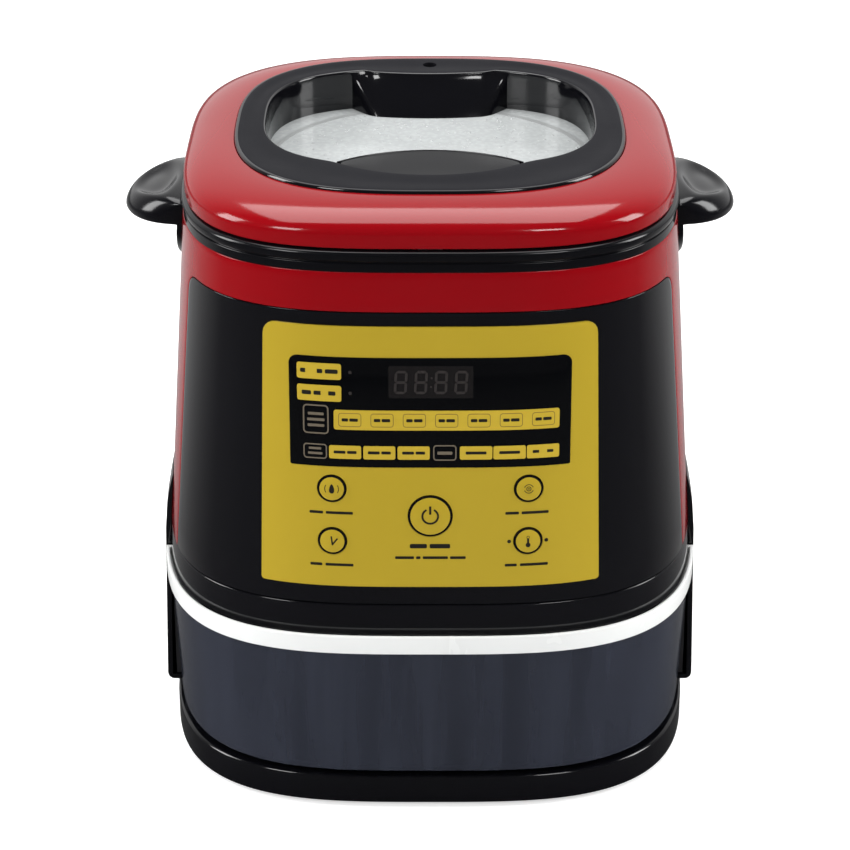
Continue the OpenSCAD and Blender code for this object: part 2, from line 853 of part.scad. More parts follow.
module drawer_front(back) {
    intersection() {
        children();
        block([-housing_x, -2 * tank_y, 0], [housing_x, -back, body_top]);
    }
}

module tank_solid(inset, low, over = 0) {
    wall_top = tank_high - tank_rim_h + over;
    foot = 2.5;
    x = tank_x - 2 - inset;
    y = tank_y - 2 - inset;
    loft([[x - tank_taper - foot, y - tank_taper - foot, squareness, low],
        [x - tank_taper - foot * 0.3, y - tank_taper - foot * 0.3, squareness, low + foot * 0.4],
        [x - tank_taper, y - tank_taper, squareness, low + foot * 1.4],
        [x, y, squareness, wall_top]]);
}

module tank_bowl() {
    color("#48505c") {
        difference() {
            drawer_front(tank_back) tank_solid(0, tank_low);
            drawer_front(tank_back + tank_wall) tank_solid(tank_wall, tank_low + tank_wall, 1);
        }
        mirrored() block([runner_x - runner_half, -tank_y + 24, base_top + tank_gap],
            [runner_x + runner_half, -tank_back - 4, tank_low + 1]);
    }
}

module tank_rim() {
    wall_top = tank_high - tank_rim_h;
    edge = 0.9;
    inner = tank_wall + 3;
    top = tank_high + tank_lip;
    color("#f4f6f4") difference() {
        drawer_front(tank_back) loft([[tank_x - edge, tank_y - edge, squareness, wall_top],
            [tank_x, tank_y, squareness, wall_top + edge],
            [tank_x, tank_y, squareness, top - edge],
            [tank_x - edge * 0.4, tank_y - edge * 0.4, squareness, top]]);
        prism(body_x(body_low) + 0.4, body_y(body_low) + 0.4, squareness, tank_high, top + 1);
        drawer_front(tank_back + inner)
            prism(tank_x - inner, tank_y - inner, squareness, wall_top - 1, tank_high + 1);
    }
}

// ---------------------------------------------------------------- lid

lid_x = body_w / 2 - 0.9;
lid_y = body_d / 2 - 0.5;
bezel_x = lid_x - bezel_inset;
bezel_y = lid_y - bezel_inset - 1;
bezel_n = 2.8;
recess_n = 2.9;
skin = 2.5;
liner_low = lid_low + 0.1;
liner_high = liner_low + 2;
recess_wall = 2;
glass_top = lid_low - 1.3;
plate_z = glass_top - window_t - 4.4;
plate_r = pot_r - pot_wall - 5.5;
vent_y = bezel_y - 11;
lens_r = (button_x * button_x + button_y * button_y) / (2 * button_y);

// Where the lid's top curve has turned by an angle: share 0 at the skirt, 1 at the bezel
function crown(a, inset) =
    let (n = squareness + (bezel_n - squareness) * a / 90, top = shell_top - ridge_z)
    [bezel_x + (lid_x - bezel_x) * cos(a) - inset, bezel_y + (lid_y - bezel_y) * cos(a) - inset, n,
        ridge_z - inset * 0.6 + top * sin(a) - inset * 0.4 * sin(a)];

module lid_solid(inset, low) {
    start = inset > 0 ? [[lid_x - inset, lid_y - inset, squareness, low]] :
        [[lid_x - 0.8, lid_y - 0.8, squareness, low], [lid_x, lid_y, squareness, low + 1.2]];
    loft(concat(start, [for (a = [0:11.25:90]) crown(a, inset)]));
}

module lid_shell() {
    color("#a20a14") difference() {
        lid_solid(0, lid_low);
        lid_solid(skin, lid_low - 1);
        prism(bezel_x + 0.1, bezel_y + 0.1, bezel_n, lid_low, bezel_top + 1);
        block([-barrel_half - 0.4, 0, lid_low - 1], [barrel_half + 0.4, body_d, liner_high + 2.2]);
    }
}

// Lens between two equal arcs, for the release button
module lens(grow = 0) {
    intersection_for (s = [-1, 1])
        translate([0, -button_front + s * (lens_r - button_y)]) circle(r = lens_r + grow, $fn = 180);
}

// The recess as seen from above, grown by a margin
module recess_2d(grow = 0) {
    difference() {
        translate([0, recess_back]) polygon(outline(recess_x + grow, recess_y + grow, recess_n));
        lens(3.5 - grow);
    }
}

lid_screw_at = [for (sx = [-1, 1], p = [[bezel_x - 6.2, 5], [68, -56]]) [sx * p[0], p[1]]];

module lid_bezel() {
    plate = 2.5;
    color("#2f2e33") {
        difference() {
            union() {
                prism(bezel_x, bezel_y, bezel_n, bezel_top - plate - 1.5, bezel_top - 1);
                prism(bezel_x - 1, bezel_y - 1, bezel_n, bezel_top - 1 - bite, bezel_top);
                translate([0, 0, glass_top]) linear_extrude(height = bezel_top - glass_top - 1)
                    recess_2d(recess_wall);
            }
            translate([0, 0, glass_top - 1]) linear_extrude(height = 40) recess_2d();
            translate([0, 0, glass_top - 1]) linear_extrude(height = 40) lens(key_gap);
            translate([0, vent_y, 0]) rod_z(3.5, 0, bezel_top + 5);
        }
        for (p = lid_screw_at) translate(p) difference() {
            rod_z(3.5, liner_high, bezel_top - plate);
            rod_z(1.3, 0, liner_high + 9);
        }
    }
}

module lid_base() {
    rear = lid_y - skin - 0.3;
    color("#26252a") difference() {
        union() {
            prism(lid_x - skin - 0.3, rear, squareness, liner_low, liner_high);
            block([-barrel_half, hinge_y - 26, liner_low], [barrel_half, hinge_y, liner_high + 1.8]);
            translate([0, hinge_y, hinge_z]) rod_x(knuckle_r, -barrel_half, barrel_half);
            for (sx = [-1, 1]) translate([sx * 15.6 - 1, -100, liner_low]) cube([2, 18, 5]);
        }
        translate([0, 0, lid_low - 5]) linear_extrude(height = 40) recess_2d(recess_wall + 0.2);
        translate([0, hinge_y, hinge_z]) rod_x(pin_r + pin_play, -barrel_half - 1, barrel_half + 1);
        block([-6.2, -body_d, lid_low - 1], [6.2, latch_y + 5.4 + button_travel, lid_low + 10]);
        for (p = lid_screw_at) translate(p) rod_z(1.4, 0, bezel_top);
        translate([0, vent_y, 0]) rod_z(5.2, 0, liner_high + 1);
    }
}

module lid_window() {
    color("#c8cccb", 0.4) difference() {
        intersection() {
            translate([0, 0, glass_top - window_t]) linear_extrude(height = window_t)
                translate([0, recess_back]) polygon(outline(recess_x + 2, recess_y + 2, recess_n));
            rod_z(plate_r - 1.6, 0, bezel_top);
        }
        translate([0, vent_y, 0]) rod_z(5.4, 0, bezel_top);
    }
}

module inner_lid() {
    color("#c9ccce") {
        difference() {
            rod_z(plate_r, plate_z, plate_z + 1.2);
            translate([0, vent_y, 0]) rod_z(3.5, 0, bezel_top);
            for (a = [0:30:330]) rotate([0, 0, a]) translate([86, 0, 0]) rod_z(2, 0, plate_z + 2);
        }
        difference() {
            union() {
                ring(plate_r, plate_r - 1.2, plate_z + 1.2 - bite, liner_low);
                ring(plate_r - 1.1, plate_r - 7, plate_z + 1.2 - bite, plate_z + 2);
            }
            translate([0, vent_y, plate_z + 1.2 - bite - 1]) cylinder(r = 5.2, h = 10);
        }
    }
}

module lid_seal() {
    color("#e6e6e3") ring(lip_r - 3, plate_r + 1, rim_z + lip_t + 1.2 + 0.5, liner_low);
}

module vent_duct() {
    color("#3b3a40") translate([0, vent_y, 0]) ring(5, 3.5, plate_z + 1.2, bezel_top - 4);
}

// Convex block at the rear of the recess, leaning back towards its top
module segment(front, half, back) {
    rise = back - front;
    r = (half * half + rise * rise) / (2 * rise);
    intersection() {
        translate([0, front + r]) circle(r = r, $fn = 90);
        translate([-half, front - 1]) square([2 * half, rise + 1]);
    }
}

module vent_block() {
    back = recess_back + recess_y - 0.1;
    color("#101014") intersection() {
        hull() {
            translate([0, 0, glass_top]) linear_extrude(height = 1)
                segment(back - 17.5, button_x * 0.95, back);
            translate([0, 0, bezel_top - 3]) linear_extrude(height = 1)
                segment(back - 7, button_x, back);
        }
        translate([0, 0, glass_top]) linear_extrude(height = 40) recess_2d(-0.05);
    }
}

module lid_screws() {
    color("silver") for (p = lid_screw_at) translate(p) {
        rod_z(2.4, liner_low - 1.2, liner_low);
        rod_z(1.3, liner_low - 0.1, liner_high + 8);
    }
}

// ---------------------------------------------------------------- release button and latch

button_low = bezel_top - 4;
slide_low = liner_high + 0.6;
slide_t = 2.2;
slide_top = slide_low + slide_t;
cam_y = -80;
hook_y = latch_y + 0.4;

// The sloped foot and the ramp that it pushes, in the plane across the lid
module across(half, points) {
    translate([-half, 0, 0]) rotate([90, 0, 90]) linear_extrude(height = 2 * half) polygon(points);
}

module release_button() {
    foot_z = slide_top + 0.7;
    rise = button_low - 1 - foot_z;
    color("#232227") {
        translate([0, 0, button_low]) linear_extrude(height = bezel_top - button_low + 0.2) lens(0);
        across(7, [[cam_y - 2, foot_z], [cam_y - 0.6, foot_z],
            [cam_y - 0.6 + rise, button_low - 1], [cam_y - 2, button_low - 1]]);
        translate([-7, cam_y - 2, button_low - 2.3]) cube([14, 12, 2]);
        translate([-7, cam_y + 5, button_low - 1]) cube([14, 5, 1.5]);
    }
}

module button_springs() {
    color("silver") mirrored() translate([22, -button_front, 0])
        coil(4, 0.5, 5, liner_high + 0.1, button_low - 0.1);
}

module latch_slider() {
    ramp = 4;
    color("#c7c8c6") {
        difference() {
            block([-14, hook_y + 4.3, slide_low], [14, cam_y + 10, slide_top]);
            block([-7.5, cam_y - 7, slide_low - 1], [7.5, cam_y, slide_top + 1]);
        }
        across(7, [[cam_y, slide_top - bite], [cam_y + ramp, slide_top + ramp],
            [cam_y + ramp + 2, slide_top + ramp], [cam_y + ramp + 2, slide_top - bite]]);
        block([-5.5, hook_y + 1.8, rim_z - 2.8], [5.5, hook_y + 4.3 + bite, slide_top]);
        block([-5.5, hook_y, rim_z - 2.8], [5.5, hook_y + 1.9, rim_z - 0.4]);
    }
}

// ---------------------------------------------------------------- assembly

rubber_feet();
bottom_plate();
bottom_screws();
base_tray();
rear_housing();
housing_neck();
housing_deck();
bay_wall();
body_floor();
body_screws();
lower_trim();
body_shell();
front_panel();
control_overlay();
display_window();
display_module();
control_board();
rim_collar();
latch_striker();
chamber_liner();
heater_plate();
heater_element();
inner_pot();
rice_basket();
sensor_guide();
sensor_spring();
drain_cup();
drain_valve();
valve_coil();
drain_spout();
power_board();
power_inlet();
inlet_pins();
handle_left();
handle_right();
handle_screws();
hinge_bracket();
hinge_pin();
hinge_spring();
sensor_plunger();
valve_plunger();
key_upper_left();
key_lower_left();
key_upper_right();
key_lower_right();
key_start();
tank_bowl();
tank_rim();
lid_shell();
lid_bezel();
lid_window();
lid_base();
inner_lid();
lid_seal();
vent_duct();
vent_block();
lid_screws();
button_springs();
release_button();
latch_slider();
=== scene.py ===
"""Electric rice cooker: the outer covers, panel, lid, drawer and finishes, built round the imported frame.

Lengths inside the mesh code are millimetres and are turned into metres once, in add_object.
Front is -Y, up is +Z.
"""

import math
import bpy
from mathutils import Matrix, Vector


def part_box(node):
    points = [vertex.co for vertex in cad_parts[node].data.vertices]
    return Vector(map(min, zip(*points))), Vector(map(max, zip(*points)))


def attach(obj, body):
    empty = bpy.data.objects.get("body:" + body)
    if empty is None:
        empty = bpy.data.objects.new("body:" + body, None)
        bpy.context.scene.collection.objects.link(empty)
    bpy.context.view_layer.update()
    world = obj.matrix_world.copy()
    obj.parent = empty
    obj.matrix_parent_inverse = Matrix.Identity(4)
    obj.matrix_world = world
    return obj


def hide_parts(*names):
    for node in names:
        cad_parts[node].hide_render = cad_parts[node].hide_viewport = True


bl_info = {
    "name": "Rice Cooker Builder",
    "version": (1, 0, 0),
    "blender": (4, 5, 0),
    "location": "View3D > Sidebar > Cooker",
    "description": "Builds the covers, control panel, lid and water drawer of an electric rice cooker",
    "category": "Add Mesh",
}

import bmesh
import bpy
import numpy as np
from bpy.props import FloatProperty, FloatVectorProperty, IntProperty, PointerProperty
from bpy.types import Operator, Panel, PropertyGroup
from mathutils import Matrix, Vector

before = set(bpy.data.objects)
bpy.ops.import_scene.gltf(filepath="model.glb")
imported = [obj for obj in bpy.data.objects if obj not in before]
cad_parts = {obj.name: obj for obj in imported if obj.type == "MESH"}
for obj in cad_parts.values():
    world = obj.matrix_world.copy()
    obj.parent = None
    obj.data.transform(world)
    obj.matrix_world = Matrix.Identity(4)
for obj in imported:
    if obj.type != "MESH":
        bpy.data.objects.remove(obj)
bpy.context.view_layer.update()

MM = 0.001
RING = 288


def lowest(node):
    return np.array(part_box(node)[0]) / MM


def highest(node):
    return np.array(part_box(node)[1]) / MM


# Levels and outlines of the frame, from the floor up
BASE_LOW, BASE_TOP = lowest("base_tray")[2], lowest("housing_neck")[2]
TANK_LOW, TANK_HIGH = lowest("rear_housing")[2], highest("tank_rim")[2]
RIM_LOW = lowest("tank_rim")[2]
BODY_LOW, TRIM_TOP = lowest("lower_trim")[2], highest("lower_trim")[2]
SHELL_LOW, BODY_TOP = lowest("body_shell")[2], highest("body_shell")[2]
PANEL_TOP, COLLAR_TOP = highest("front_panel")[2] + 0.3, highest("rim_collar")[2]
POT_RIM = highest("inner_pot")[2] - 2
LID_LOW, LID_TOP = lowest("lid_shell")[2], highest("lid_shell")[2]
BEZEL_TOP, GLASS_TOP = highest("lid_bezel")[2], highest("lid_window")[2]
LOW_X, LOW_Y = highest("lower_trim")[:2]
TOP_X, TOP_Y = highest("rim_collar")[0] + 0.2, -lowest("rim_collar")[1] + 0.2
LID_X, LID_Y = highest("lid_shell")[0], -lowest("lid_shell")[1]
BEZEL_X, BEZEL_Y = highest("lid_bezel")[0], -lowest("lid_bezel")[1]
TANK_Y, TANK_BACK = -lowest("tank_rim")[1], -highest("tank_rim")[1]
HOUSING_X, HOUSING_Y = highest("rear_housing")[0], highest("rear_housing")[1]
CHEEK_TOP, HOUSING_FRONT = highest("rear_housing")[2], -lowest("rear_housing")[1]
OVERLAY_LOW, OVERLAY_TOP = lowest("control_overlay")[2], highest("control_overlay")[2]
DISPLAY_LOW, DISPLAY_TOP = lowest("display_window")[2], highest("display_window")[2]

SQUARE = 3.3
KEYS = {
    "key_upper_left": (-45, 171),
    "key_lower_left": (-45, 145),
    "key_upper_right": (45, 171),
    "key_lower_right": (45, 145),
    "key_start": (0, 158),
}


# ---------------------------------------------------------------- sizes and colours


def length(label, default_mm, text, low=0.0):
    return FloatProperty(
        name=label, description=text, default=default_mm * MM, min=low * MM, unit="LENGTH", precision=4)


def tint(label, rgb, text):
    return FloatVectorProperty(
        name=label, description=text, default=rgb, min=0, max=1, size=3, subtype="COLOR")


class COOKER_PG_covers(PropertyGroup):
    wall: length("Wall", 2.5, "Thickness of the moulded covers", 0.5)
    edge: length("Edge round", 0.6, "Radius of the covers' open edges", 0.1)
    panel_back: length("Panel side", 75, "Distance from the middle forwards to the panel's side edge")
    panel_corner: length("Panel corner", 9, "Radius of the panel's top corners")
    bead: length("Collar bead", 0.7, "How far the collar's upper bead stands out")
    red: tint("Red", (0.23, 0.0012, 0.004), "Colour of the body shell and the lid")
    black: tint("Gloss black", (0.0026, 0.0026, 0.0036), "Colour of the gloss black covers")


class COOKER_PG_controls(PropertyGroup):
    overlay_lift: length("Overlay thickness", 1.0, "How far the overlay stands out from the panel")
    overlay_flare: length(
        "Overlay flare", 3.2, "How much further out each side of the overlay is at its lower edge")
    overlay_corner: length("Overlay corner", 6, "Radius of the overlay's top corners")
    lens_lift: length("Display thickness", 1.25, "How far the display stands out from the panel")
    digit_width: length("Digit width", 6.2, "Width of one display digit")
    digit_height: length("Digit height", 11.2, "Height of one display digit")
    digit_pitch: length("Digit pitch", 9.6, "Distance between display digits")
    key_ring: length("Key ring", 1.0, "Width of the dark ring round a key")
    gold: tint("Gold", (0.66, 0.465, 0.030), "Colour of the control overlay")
    ink: tint("Ink", (0.012, 0.010, 0.008), "Colour of the printed marks")


class COOKER_PG_lid(PropertyGroup):
    rim_line: length("Rim line", 1.3, "Width of the gloss line round the bezel")
    # Painted shade: the release button is coloured darker than the bezel so that its dished scoop reads darker
    scoop: tint("Scoop", (0.004, 0.004, 0.005), "Colour of the release button")
    scoop_depth: length("Scoop depth", 3.2, "Depth of the release button's finger scoop at its front")
    bulge_foot: length("Bulge foot", 61, "Distance from the middle back to the foot of the steam bulge")
    bulge_top: length("Bulge top", 72.5, "Distance from the middle back to the top of the steam bulge")
    drop_size: length("Drop size", 0.75, "Largest radius of the condensation drops")
    drop_density: FloatProperty(
        name="Drop density", description="Condensation drops per square metre", default=34000, min=0)
    drop_seed: IntProperty(name="Drop seed", description="Seed of the condensation's scatter", default=4)
    bezel: tint("Bezel", (0.0078, 0.0078, 0.010), "Colour of the matte bezel")
    haze: tint("Haze", (0.47, 0.49, 0.49), "Colour of the condensation under the window")


class COOKER_PG_drawer(PropertyGroup):
    floor_round: length("Floor round", 3, "Radius of the drawer's lower edge")
    rim_wall: length("Rim width", 5.5, "Width of the drawer's rim")
    lip_wall: length("Lip width", 1.8, "Thickness of the lip that stands up in front of the body")
    smoke: tint("Smoke", (0.040, 0.045, 0.064), "Colour of the see-through drawer")


class COOKER_PG_handles(PropertyGroup):
    half_length: length("Half length", 33, "Half length of a handle where it meets the body")
    dish_depth: length("Dish depth", 4.6, "Depth of the thumb dish")
    leaf_drop: length("Leaf drop", 26, "How far the handle's leaf reaches down the body")
    leaf_proud: length("Leaf thickness", 2.8, "How far the leaf stands out from the body")


class COOKER_PG_stage(PropertyGroup):
    floor: tint("Floor", (0.9, 0.9, 0.9), "Colour of the floor")
    camera_place: FloatVectorProperty(
        name="Camera place", description="Where the camera stands", default=(-0.0024, -1.247, 0.726), size=3,
        subtype="TRANSLATION", unit="LENGTH")
    camera_tilt: FloatProperty(
        name="Camera tilt", description="How far the camera looks down", default=0.438, unit="ROTATION")
    lens_length: FloatProperty(name="Lens", description="Focal length in millimetres", default=115.28)
    top_power: FloatProperty(
        name="Top light", description="Power of the overhead soft box in watts", default=33.0, min=0)
    side_power: FloatProperty(
        name="Side lights", description="Power of each side soft box in watts", default=13.0, min=0)
    front_power: FloatProperty(
        name="Front light", description="Power of each front soft box in watts", default=9.0, min=0)
    world_strength: FloatProperty(
        name="Room light", description="Strength of the even light from all round", default=0.2, min=0)
    wall_shine: FloatProperty(
        name="Back wall", description="Brightness of the white wall behind in reflections", default=0.85,
        min=0)
    floor_shine: FloatProperty(
        name="Floor shine", description="Share of the floor's colour left in reflections", default=0.05,
        min=0)


# ---------------------------------------------------------------- outlines


def body_half(z):
    share = (z - BODY_LOW) / (BODY_TOP - BODY_LOW)
    return LOW_X + (TOP_X - LOW_X) * share, LOW_Y + (TOP_Y - LOW_Y) * share


def front_at(x, z):
    """Distance from the middle forwards to the body's surface."""
    a, b = body_half(z)
    return b * (1 - (np.abs(x) / a) ** SQUARE) ** (1 / SQUARE)


def reach(a, b, n, angle):
    return ((np.abs(np.cos(angle)) / a) ** n + (np.abs(np.sin(angle)) / b) ** n) ** (-1 / n)


def turn(count=RING):
    return np.arange(count) * 2 * math.pi / count


def squircle(a, b, n, z, angle=None):
    angle = turn() if angle is None else angle
    far = reach(a, b, n, angle)
    return np.stack([far * np.cos(angle), far * np.sin(angle), np.full(len(angle), float(z))], 1)


def body_ring(grow, z, angle=None):
    a, b = body_half(z)
    return squircle(a + grow, b + grow, SQUARE, z, angle)


def angle_at_front(a, b, n, forward):
    """Angle, on the right, where an outline passes a distance forwards."""
    low, high = -math.pi / 2, 0.0
    for _ in range(50):
        mid = (low + high) / 2
        if -reach(a, b, n, mid) * math.sin(mid) > forward:
            low = mid
        else:
            high = mid
    return (low + high) / 2


def rounded(points, steps=4, closed=True):
    """Corner points (x, y, radius) joined up, with each corner turned into a curve."""
    out = []
    for i, (x, y, r) in enumerate(points):
        here = np.array([x, y], float)
        if r <= 0 or (not closed and i in (0, len(points) - 1)):
            out.append(here)
            continue
        before = np.array(points[i - 1][:2], float) - here
        after = np.array(points[(i + 1) % len(points)][:2], float) - here
        cut = min(r, 0.49 * np.linalg.norm(before), 0.49 * np.linalg.norm(after))
        start = here + before / np.linalg.norm(before) * cut
        end = here + after / np.linalg.norm(after) * cut
        for t in np.linspace(0, 1, steps + 1):
            out.append((1 - t) ** 2 * start + 2 * t * (1 - t) * here + t * t * end)
    return out


# ---------------------------------------------------------------- meshes


def grid_cells(rows, columns, wrap_rows=False, wrap_columns=False, start=0):
    cells = []
    for r in range(rows if wrap_rows else rows - 1):
        for c in range(columns if wrap_columns else columns - 1):
            up, along = (r + 1) % rows, (c + 1) % columns
            cells.append(
                tuple(
                    start + k
                    for k in (r * columns + c, r * columns + along, up * columns + along, up * columns + c)))
    return cells


def add_object(name, points, cells):
    mesh = bpy.data.meshes.new(name)
    mesh.from_pydata((np.asarray(points, float) * MM).tolist(), [], cells)
    obj = bpy.data.objects.new(name, mesh)
    bpy.context.scene.collection.objects.link(obj)
    return obj


def bake(obj):
    """Turns the evaluated object into its own plain mesh and drops its modifiers."""
    bpy.context.view_layer.update()
    done = bpy.data.meshes.new_from_object(obj.evaluated_get(bpy.context.evaluated_depsgraph_get()))
    obj.modifiers.clear()
    obj.data = done
    done.name = obj.name
    return obj


def modify(obj, kind, **values):
    step = obj.modifiers.new(kind.title(), kind)
    for key, value in values.items():
        setattr(step, key, value)
    return step


def bevel(obj, width, angle=32, segments=2):
    modify(
        obj, "BEVEL", width=width * MM, segments=segments, limit_method="ANGLE",
        angle_limit=math.radians(angle), use_clamp_overlap=True)
    return bake(obj)


def cut(obj, *tools):
    for tool in tools:
        modify(obj, "BOOLEAN", operation="DIFFERENCE", object=tool, solver="EXACT")
        bake(obj)
        bpy.data.objects.remove(tool)
    return obj


def join(name, *objects):
    with bpy.context.temp_override(active_object=objects[0], selected_editable_objects=list(objects)):
        bpy.ops.object.join()
    objects[0].name = objects[0].data.name = name
    return objects[0]


def finish_piece(obj, body, material, stands_for=(), sharp=38, weld=0.004):
    """Cleans a mesh, turns it the right way out, shades it and hangs it on its body."""
    tidy = bmesh.new()
    tidy.from_mesh(obj.data)
    bmesh.ops.remove_doubles(tidy, verts=tidy.verts, dist=weld * MM)
    bmesh.ops.dissolve_degenerate(tidy, edges=tidy.edges, dist=weld * MM)
    if tidy.calc_volume(signed=True) < 0:
        bmesh.ops.reverse_faces(tidy, faces=tidy.faces)
    tidy.to_mesh(obj.data)
    tidy.free()
    mesh = obj.data
    if not mesh.materials:
        mesh.materials.append(material)
    mesh.shade_smooth()
    mesh.set_sharp_from_angle(angle=math.radians(sharp))
    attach(obj, body)
    if stands_for:
        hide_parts(*stands_for)
    return obj


def swept(name, rings, closed=True, capped=False):
    """Surface through a list of closed rings; closed joins the last ring to the first."""
    count = len(rings[0])
    cells = grid_cells(len(rings), count, closed, True)
    if capped:
        cells.append(tuple(range(count - 1, -1, -1)))
        cells.append(tuple(range((len(rings) - 1) * count, len(rings) * count)))
    return add_object(name, np.concatenate(rings), cells)


def strip(name, rings):
    """Solid bar through a list of closed cross-sections, with both ends capped."""
    return swept(name, rings, closed=False, capped=True)


def box_tool(low, high, round_edges=0.0):
    corners = [
        (x, y, z) for z in (low[2], high[2]) for x,
        y in ((low[0], low[1]), (high[0], low[1]), (high[0], high[1]), (low[0], high[1]))]
    cells = [(3, 2, 1, 0), (4, 5, 6, 7), (0, 1, 5, 4), (1, 2, 6, 5), (2, 3, 7, 6), (3, 0, 4, 7)]
    tool = add_object("tool", corners, cells)
    return bevel(tool, round_edges, segments=4) if round_edges else tool


def turned(name, profile, count=48):
    """Solid of revolution about Z from an open profile (radius, height), lowest first."""
    angle = turn(count)
    rings = [
        np.stack([r * np.cos(angle), r * np.sin(angle), np.full(count, float(z))], 1) for r, z in profile]
    return swept(name, rings, closed=False, capped=True)


def panel_matrix(x, z):
    """Frame on the front surface at (x, z): +Z points straight out of the panel."""
    yaw = math.atan2(front_at(x - 1, z) - front_at(x + 1, z), 2)
    lean = math.atan2(LOW_Y - TOP_Y, BODY_TOP - BODY_LOW)
    turnings = Matrix.Rotation(yaw, 4, "Z") @ Matrix.Rotation(math.pi / 2 - lean, 4, "X")
    return Matrix.Translation(Vector((x, -front_at(x, z), z)) * MM) @ turnings


def on_panel(obj, x, z):
    obj.data.transform(panel_matrix(x, z))
    return obj


def wrap_on_panel(obj):
    """Moves a flat layout (x, z, lift) on to the curved front surface."""
    mesh = obj.data
    flat = np.zeros(len(mesh.vertices) * 3, np.float32)
    mesh.vertices.foreach_get("co", flat)
    flat = flat.reshape(-1, 3).astype(float) / MM
    bent = np.stack([flat[:, 0], -(front_at(flat[:, 0], flat[:, 1]) + flat[:, 2]), flat[:, 1]], 1) * MM
    mesh.vertices.foreach_set("co", bent.astype(np.float32).ravel())
    mesh.update()
    return obj


def tile(low_x, high_x, low_z, high_z, corner, lift, thick, step=2.5, line=0.0, top_corner=None):
    """Flat rounded tile as (points, cells) in the panel's layout; line leaves only a frame that wide."""
    top_corner = corner if top_corner is None else top_corner

    def edge(x, inset):
        left, right, low, high = low_x + inset, high_x - inset, low_z + inset, high_z - inset
        side = min(x - left, right - x)

        def round_off(radius):
            radius = max(radius - inset, 0.01)
            return radius - math.sqrt(max(radius * radius - max(radius - side, 0) ** 2, 0))

        return low + round_off(corner), high - round_off(top_corner)

    many = max(2, int((high_x - low_x) / step))

    def stations(inset):
        left, right = low_x + inset, high_x - inset
        radius = max(corner, top_corner, 0.05 + inset) - inset
        bend = [radius * (1 - math.cos(a)) for a in np.linspace(0, math.pi / 2, 6)]
        middle = np.linspace(left + bend[-1], right - bend[-1], many)
        return [left + b for b in bend[:-1]] + list(middle) + [right - b for b in bend[:-1][::-1]]

    def loop(inset):
        xs = stations(inset)
        low = [(x, edge(x, inset)[0]) for x in xs]
        high = [(x, edge(x, inset)[1]) for x in xs[::-1]]
        return low + high

    if not line:
        xs = stations(0)
        points, cells = [], []
        for level in (lift, lift - thick):
            for x in xs:
                low, high = edge(x, 0)
                points += [(x, low, level), (x, high, level)]
        n = 2 * len(xs)
        for i in range(len(xs) - 1):
            a = 2 * i
            cells += [(a, a + 2, a + 3, a + 1), (n + a, n + a + 1, n + a + 3, n + a + 2)]
            cells += [(a, n + a, n + a + 2, a + 2), (a + 1, a + 3, n + a + 3, n + a + 1)]
        cells += [(0, 1, n + 1, n), (n - 2, 2 * n - 2, 2 * n - 1, n - 1)]
        return points, cells
    outer, inner = loop(0), loop(line)
    count = len(outer)
    points = [(x, z, lift) for x, z in outer] + [(x, z, lift) for x, z in inner]
    points += [(x, z, lift - thick) for x, z in inner] + [(x, z, lift - thick) for x, z in outer]
    return points, grid_cells(4, count, True, True)


# ---------------------------------------------------------------- shader node groups


def node(tree, kind, inputs=None, **values):
    made = tree.nodes.new(kind)
    for key, value in values.items():
        setattr(made, key, value)
    for key, value in (inputs or {}).items():
        made.inputs[key].default_value = value
    return made


def shader_group(name, inputs, outputs):
    """New shader group with (name, socket type, default) inputs; returns its tree, input node and output node."""
    tree = bpy.data.node_groups.new(name, "ShaderNodeTree")
    for label, kind, default in inputs:
        socket = tree.interface.new_socket(name=label, in_out="INPUT", socket_type=kind)
        if default is not None:
            socket.default_value = default
    for label, kind in outputs:
        tree.interface.new_socket(name=label, in_out="OUTPUT", socket_type=kind)
    return tree, tree.nodes.new("NodeGroupInput"), tree.nodes.new("NodeGroupOutput")


VECTOR, FLOAT, COLOUR = "NodeSocketVector", "NodeSocketFloat", "NodeSocketColor"


def make_grain_group():
    """Moulded grain: fine pits over a slow swell, as a height."""
    tree, take, give = shader_group(
        "Moulded Grain", [("Vector", VECTOR, None), ("Scale", FLOAT, 900.0), ("Swell", FLOAT, 0.25)],
        [("Height", FLOAT)])
    fine = node(tree, "ShaderNodeTexNoise", {"Detail": 3.0, "Roughness": 0.6})
    slow = node(tree, "ShaderNodeTexNoise", {"Scale": 22.0, "Detail": 1.0})
    share = node(tree, "ShaderNodeMath", operation="MULTIPLY")
    total = node(tree, "ShaderNodeMath", operation="ADD")
    links = tree.links
    links.new(take.outputs["Vector"], fine.inputs["Vector"])
    links.new(take.outputs["Scale"], fine.inputs["Scale"])
    links.new(take.outputs["Vector"], slow.inputs["Vector"])
    links.new(slow.outputs["Fac"], share.inputs[0])
    links.new(take.outputs["Swell"], share.inputs[1])
    links.new(fine.outputs["Fac"], total.inputs[0])
    links.new(share.outputs[0], total.inputs[1])
    links.new(total.outputs[0], give.inputs["Height"])
    return tree


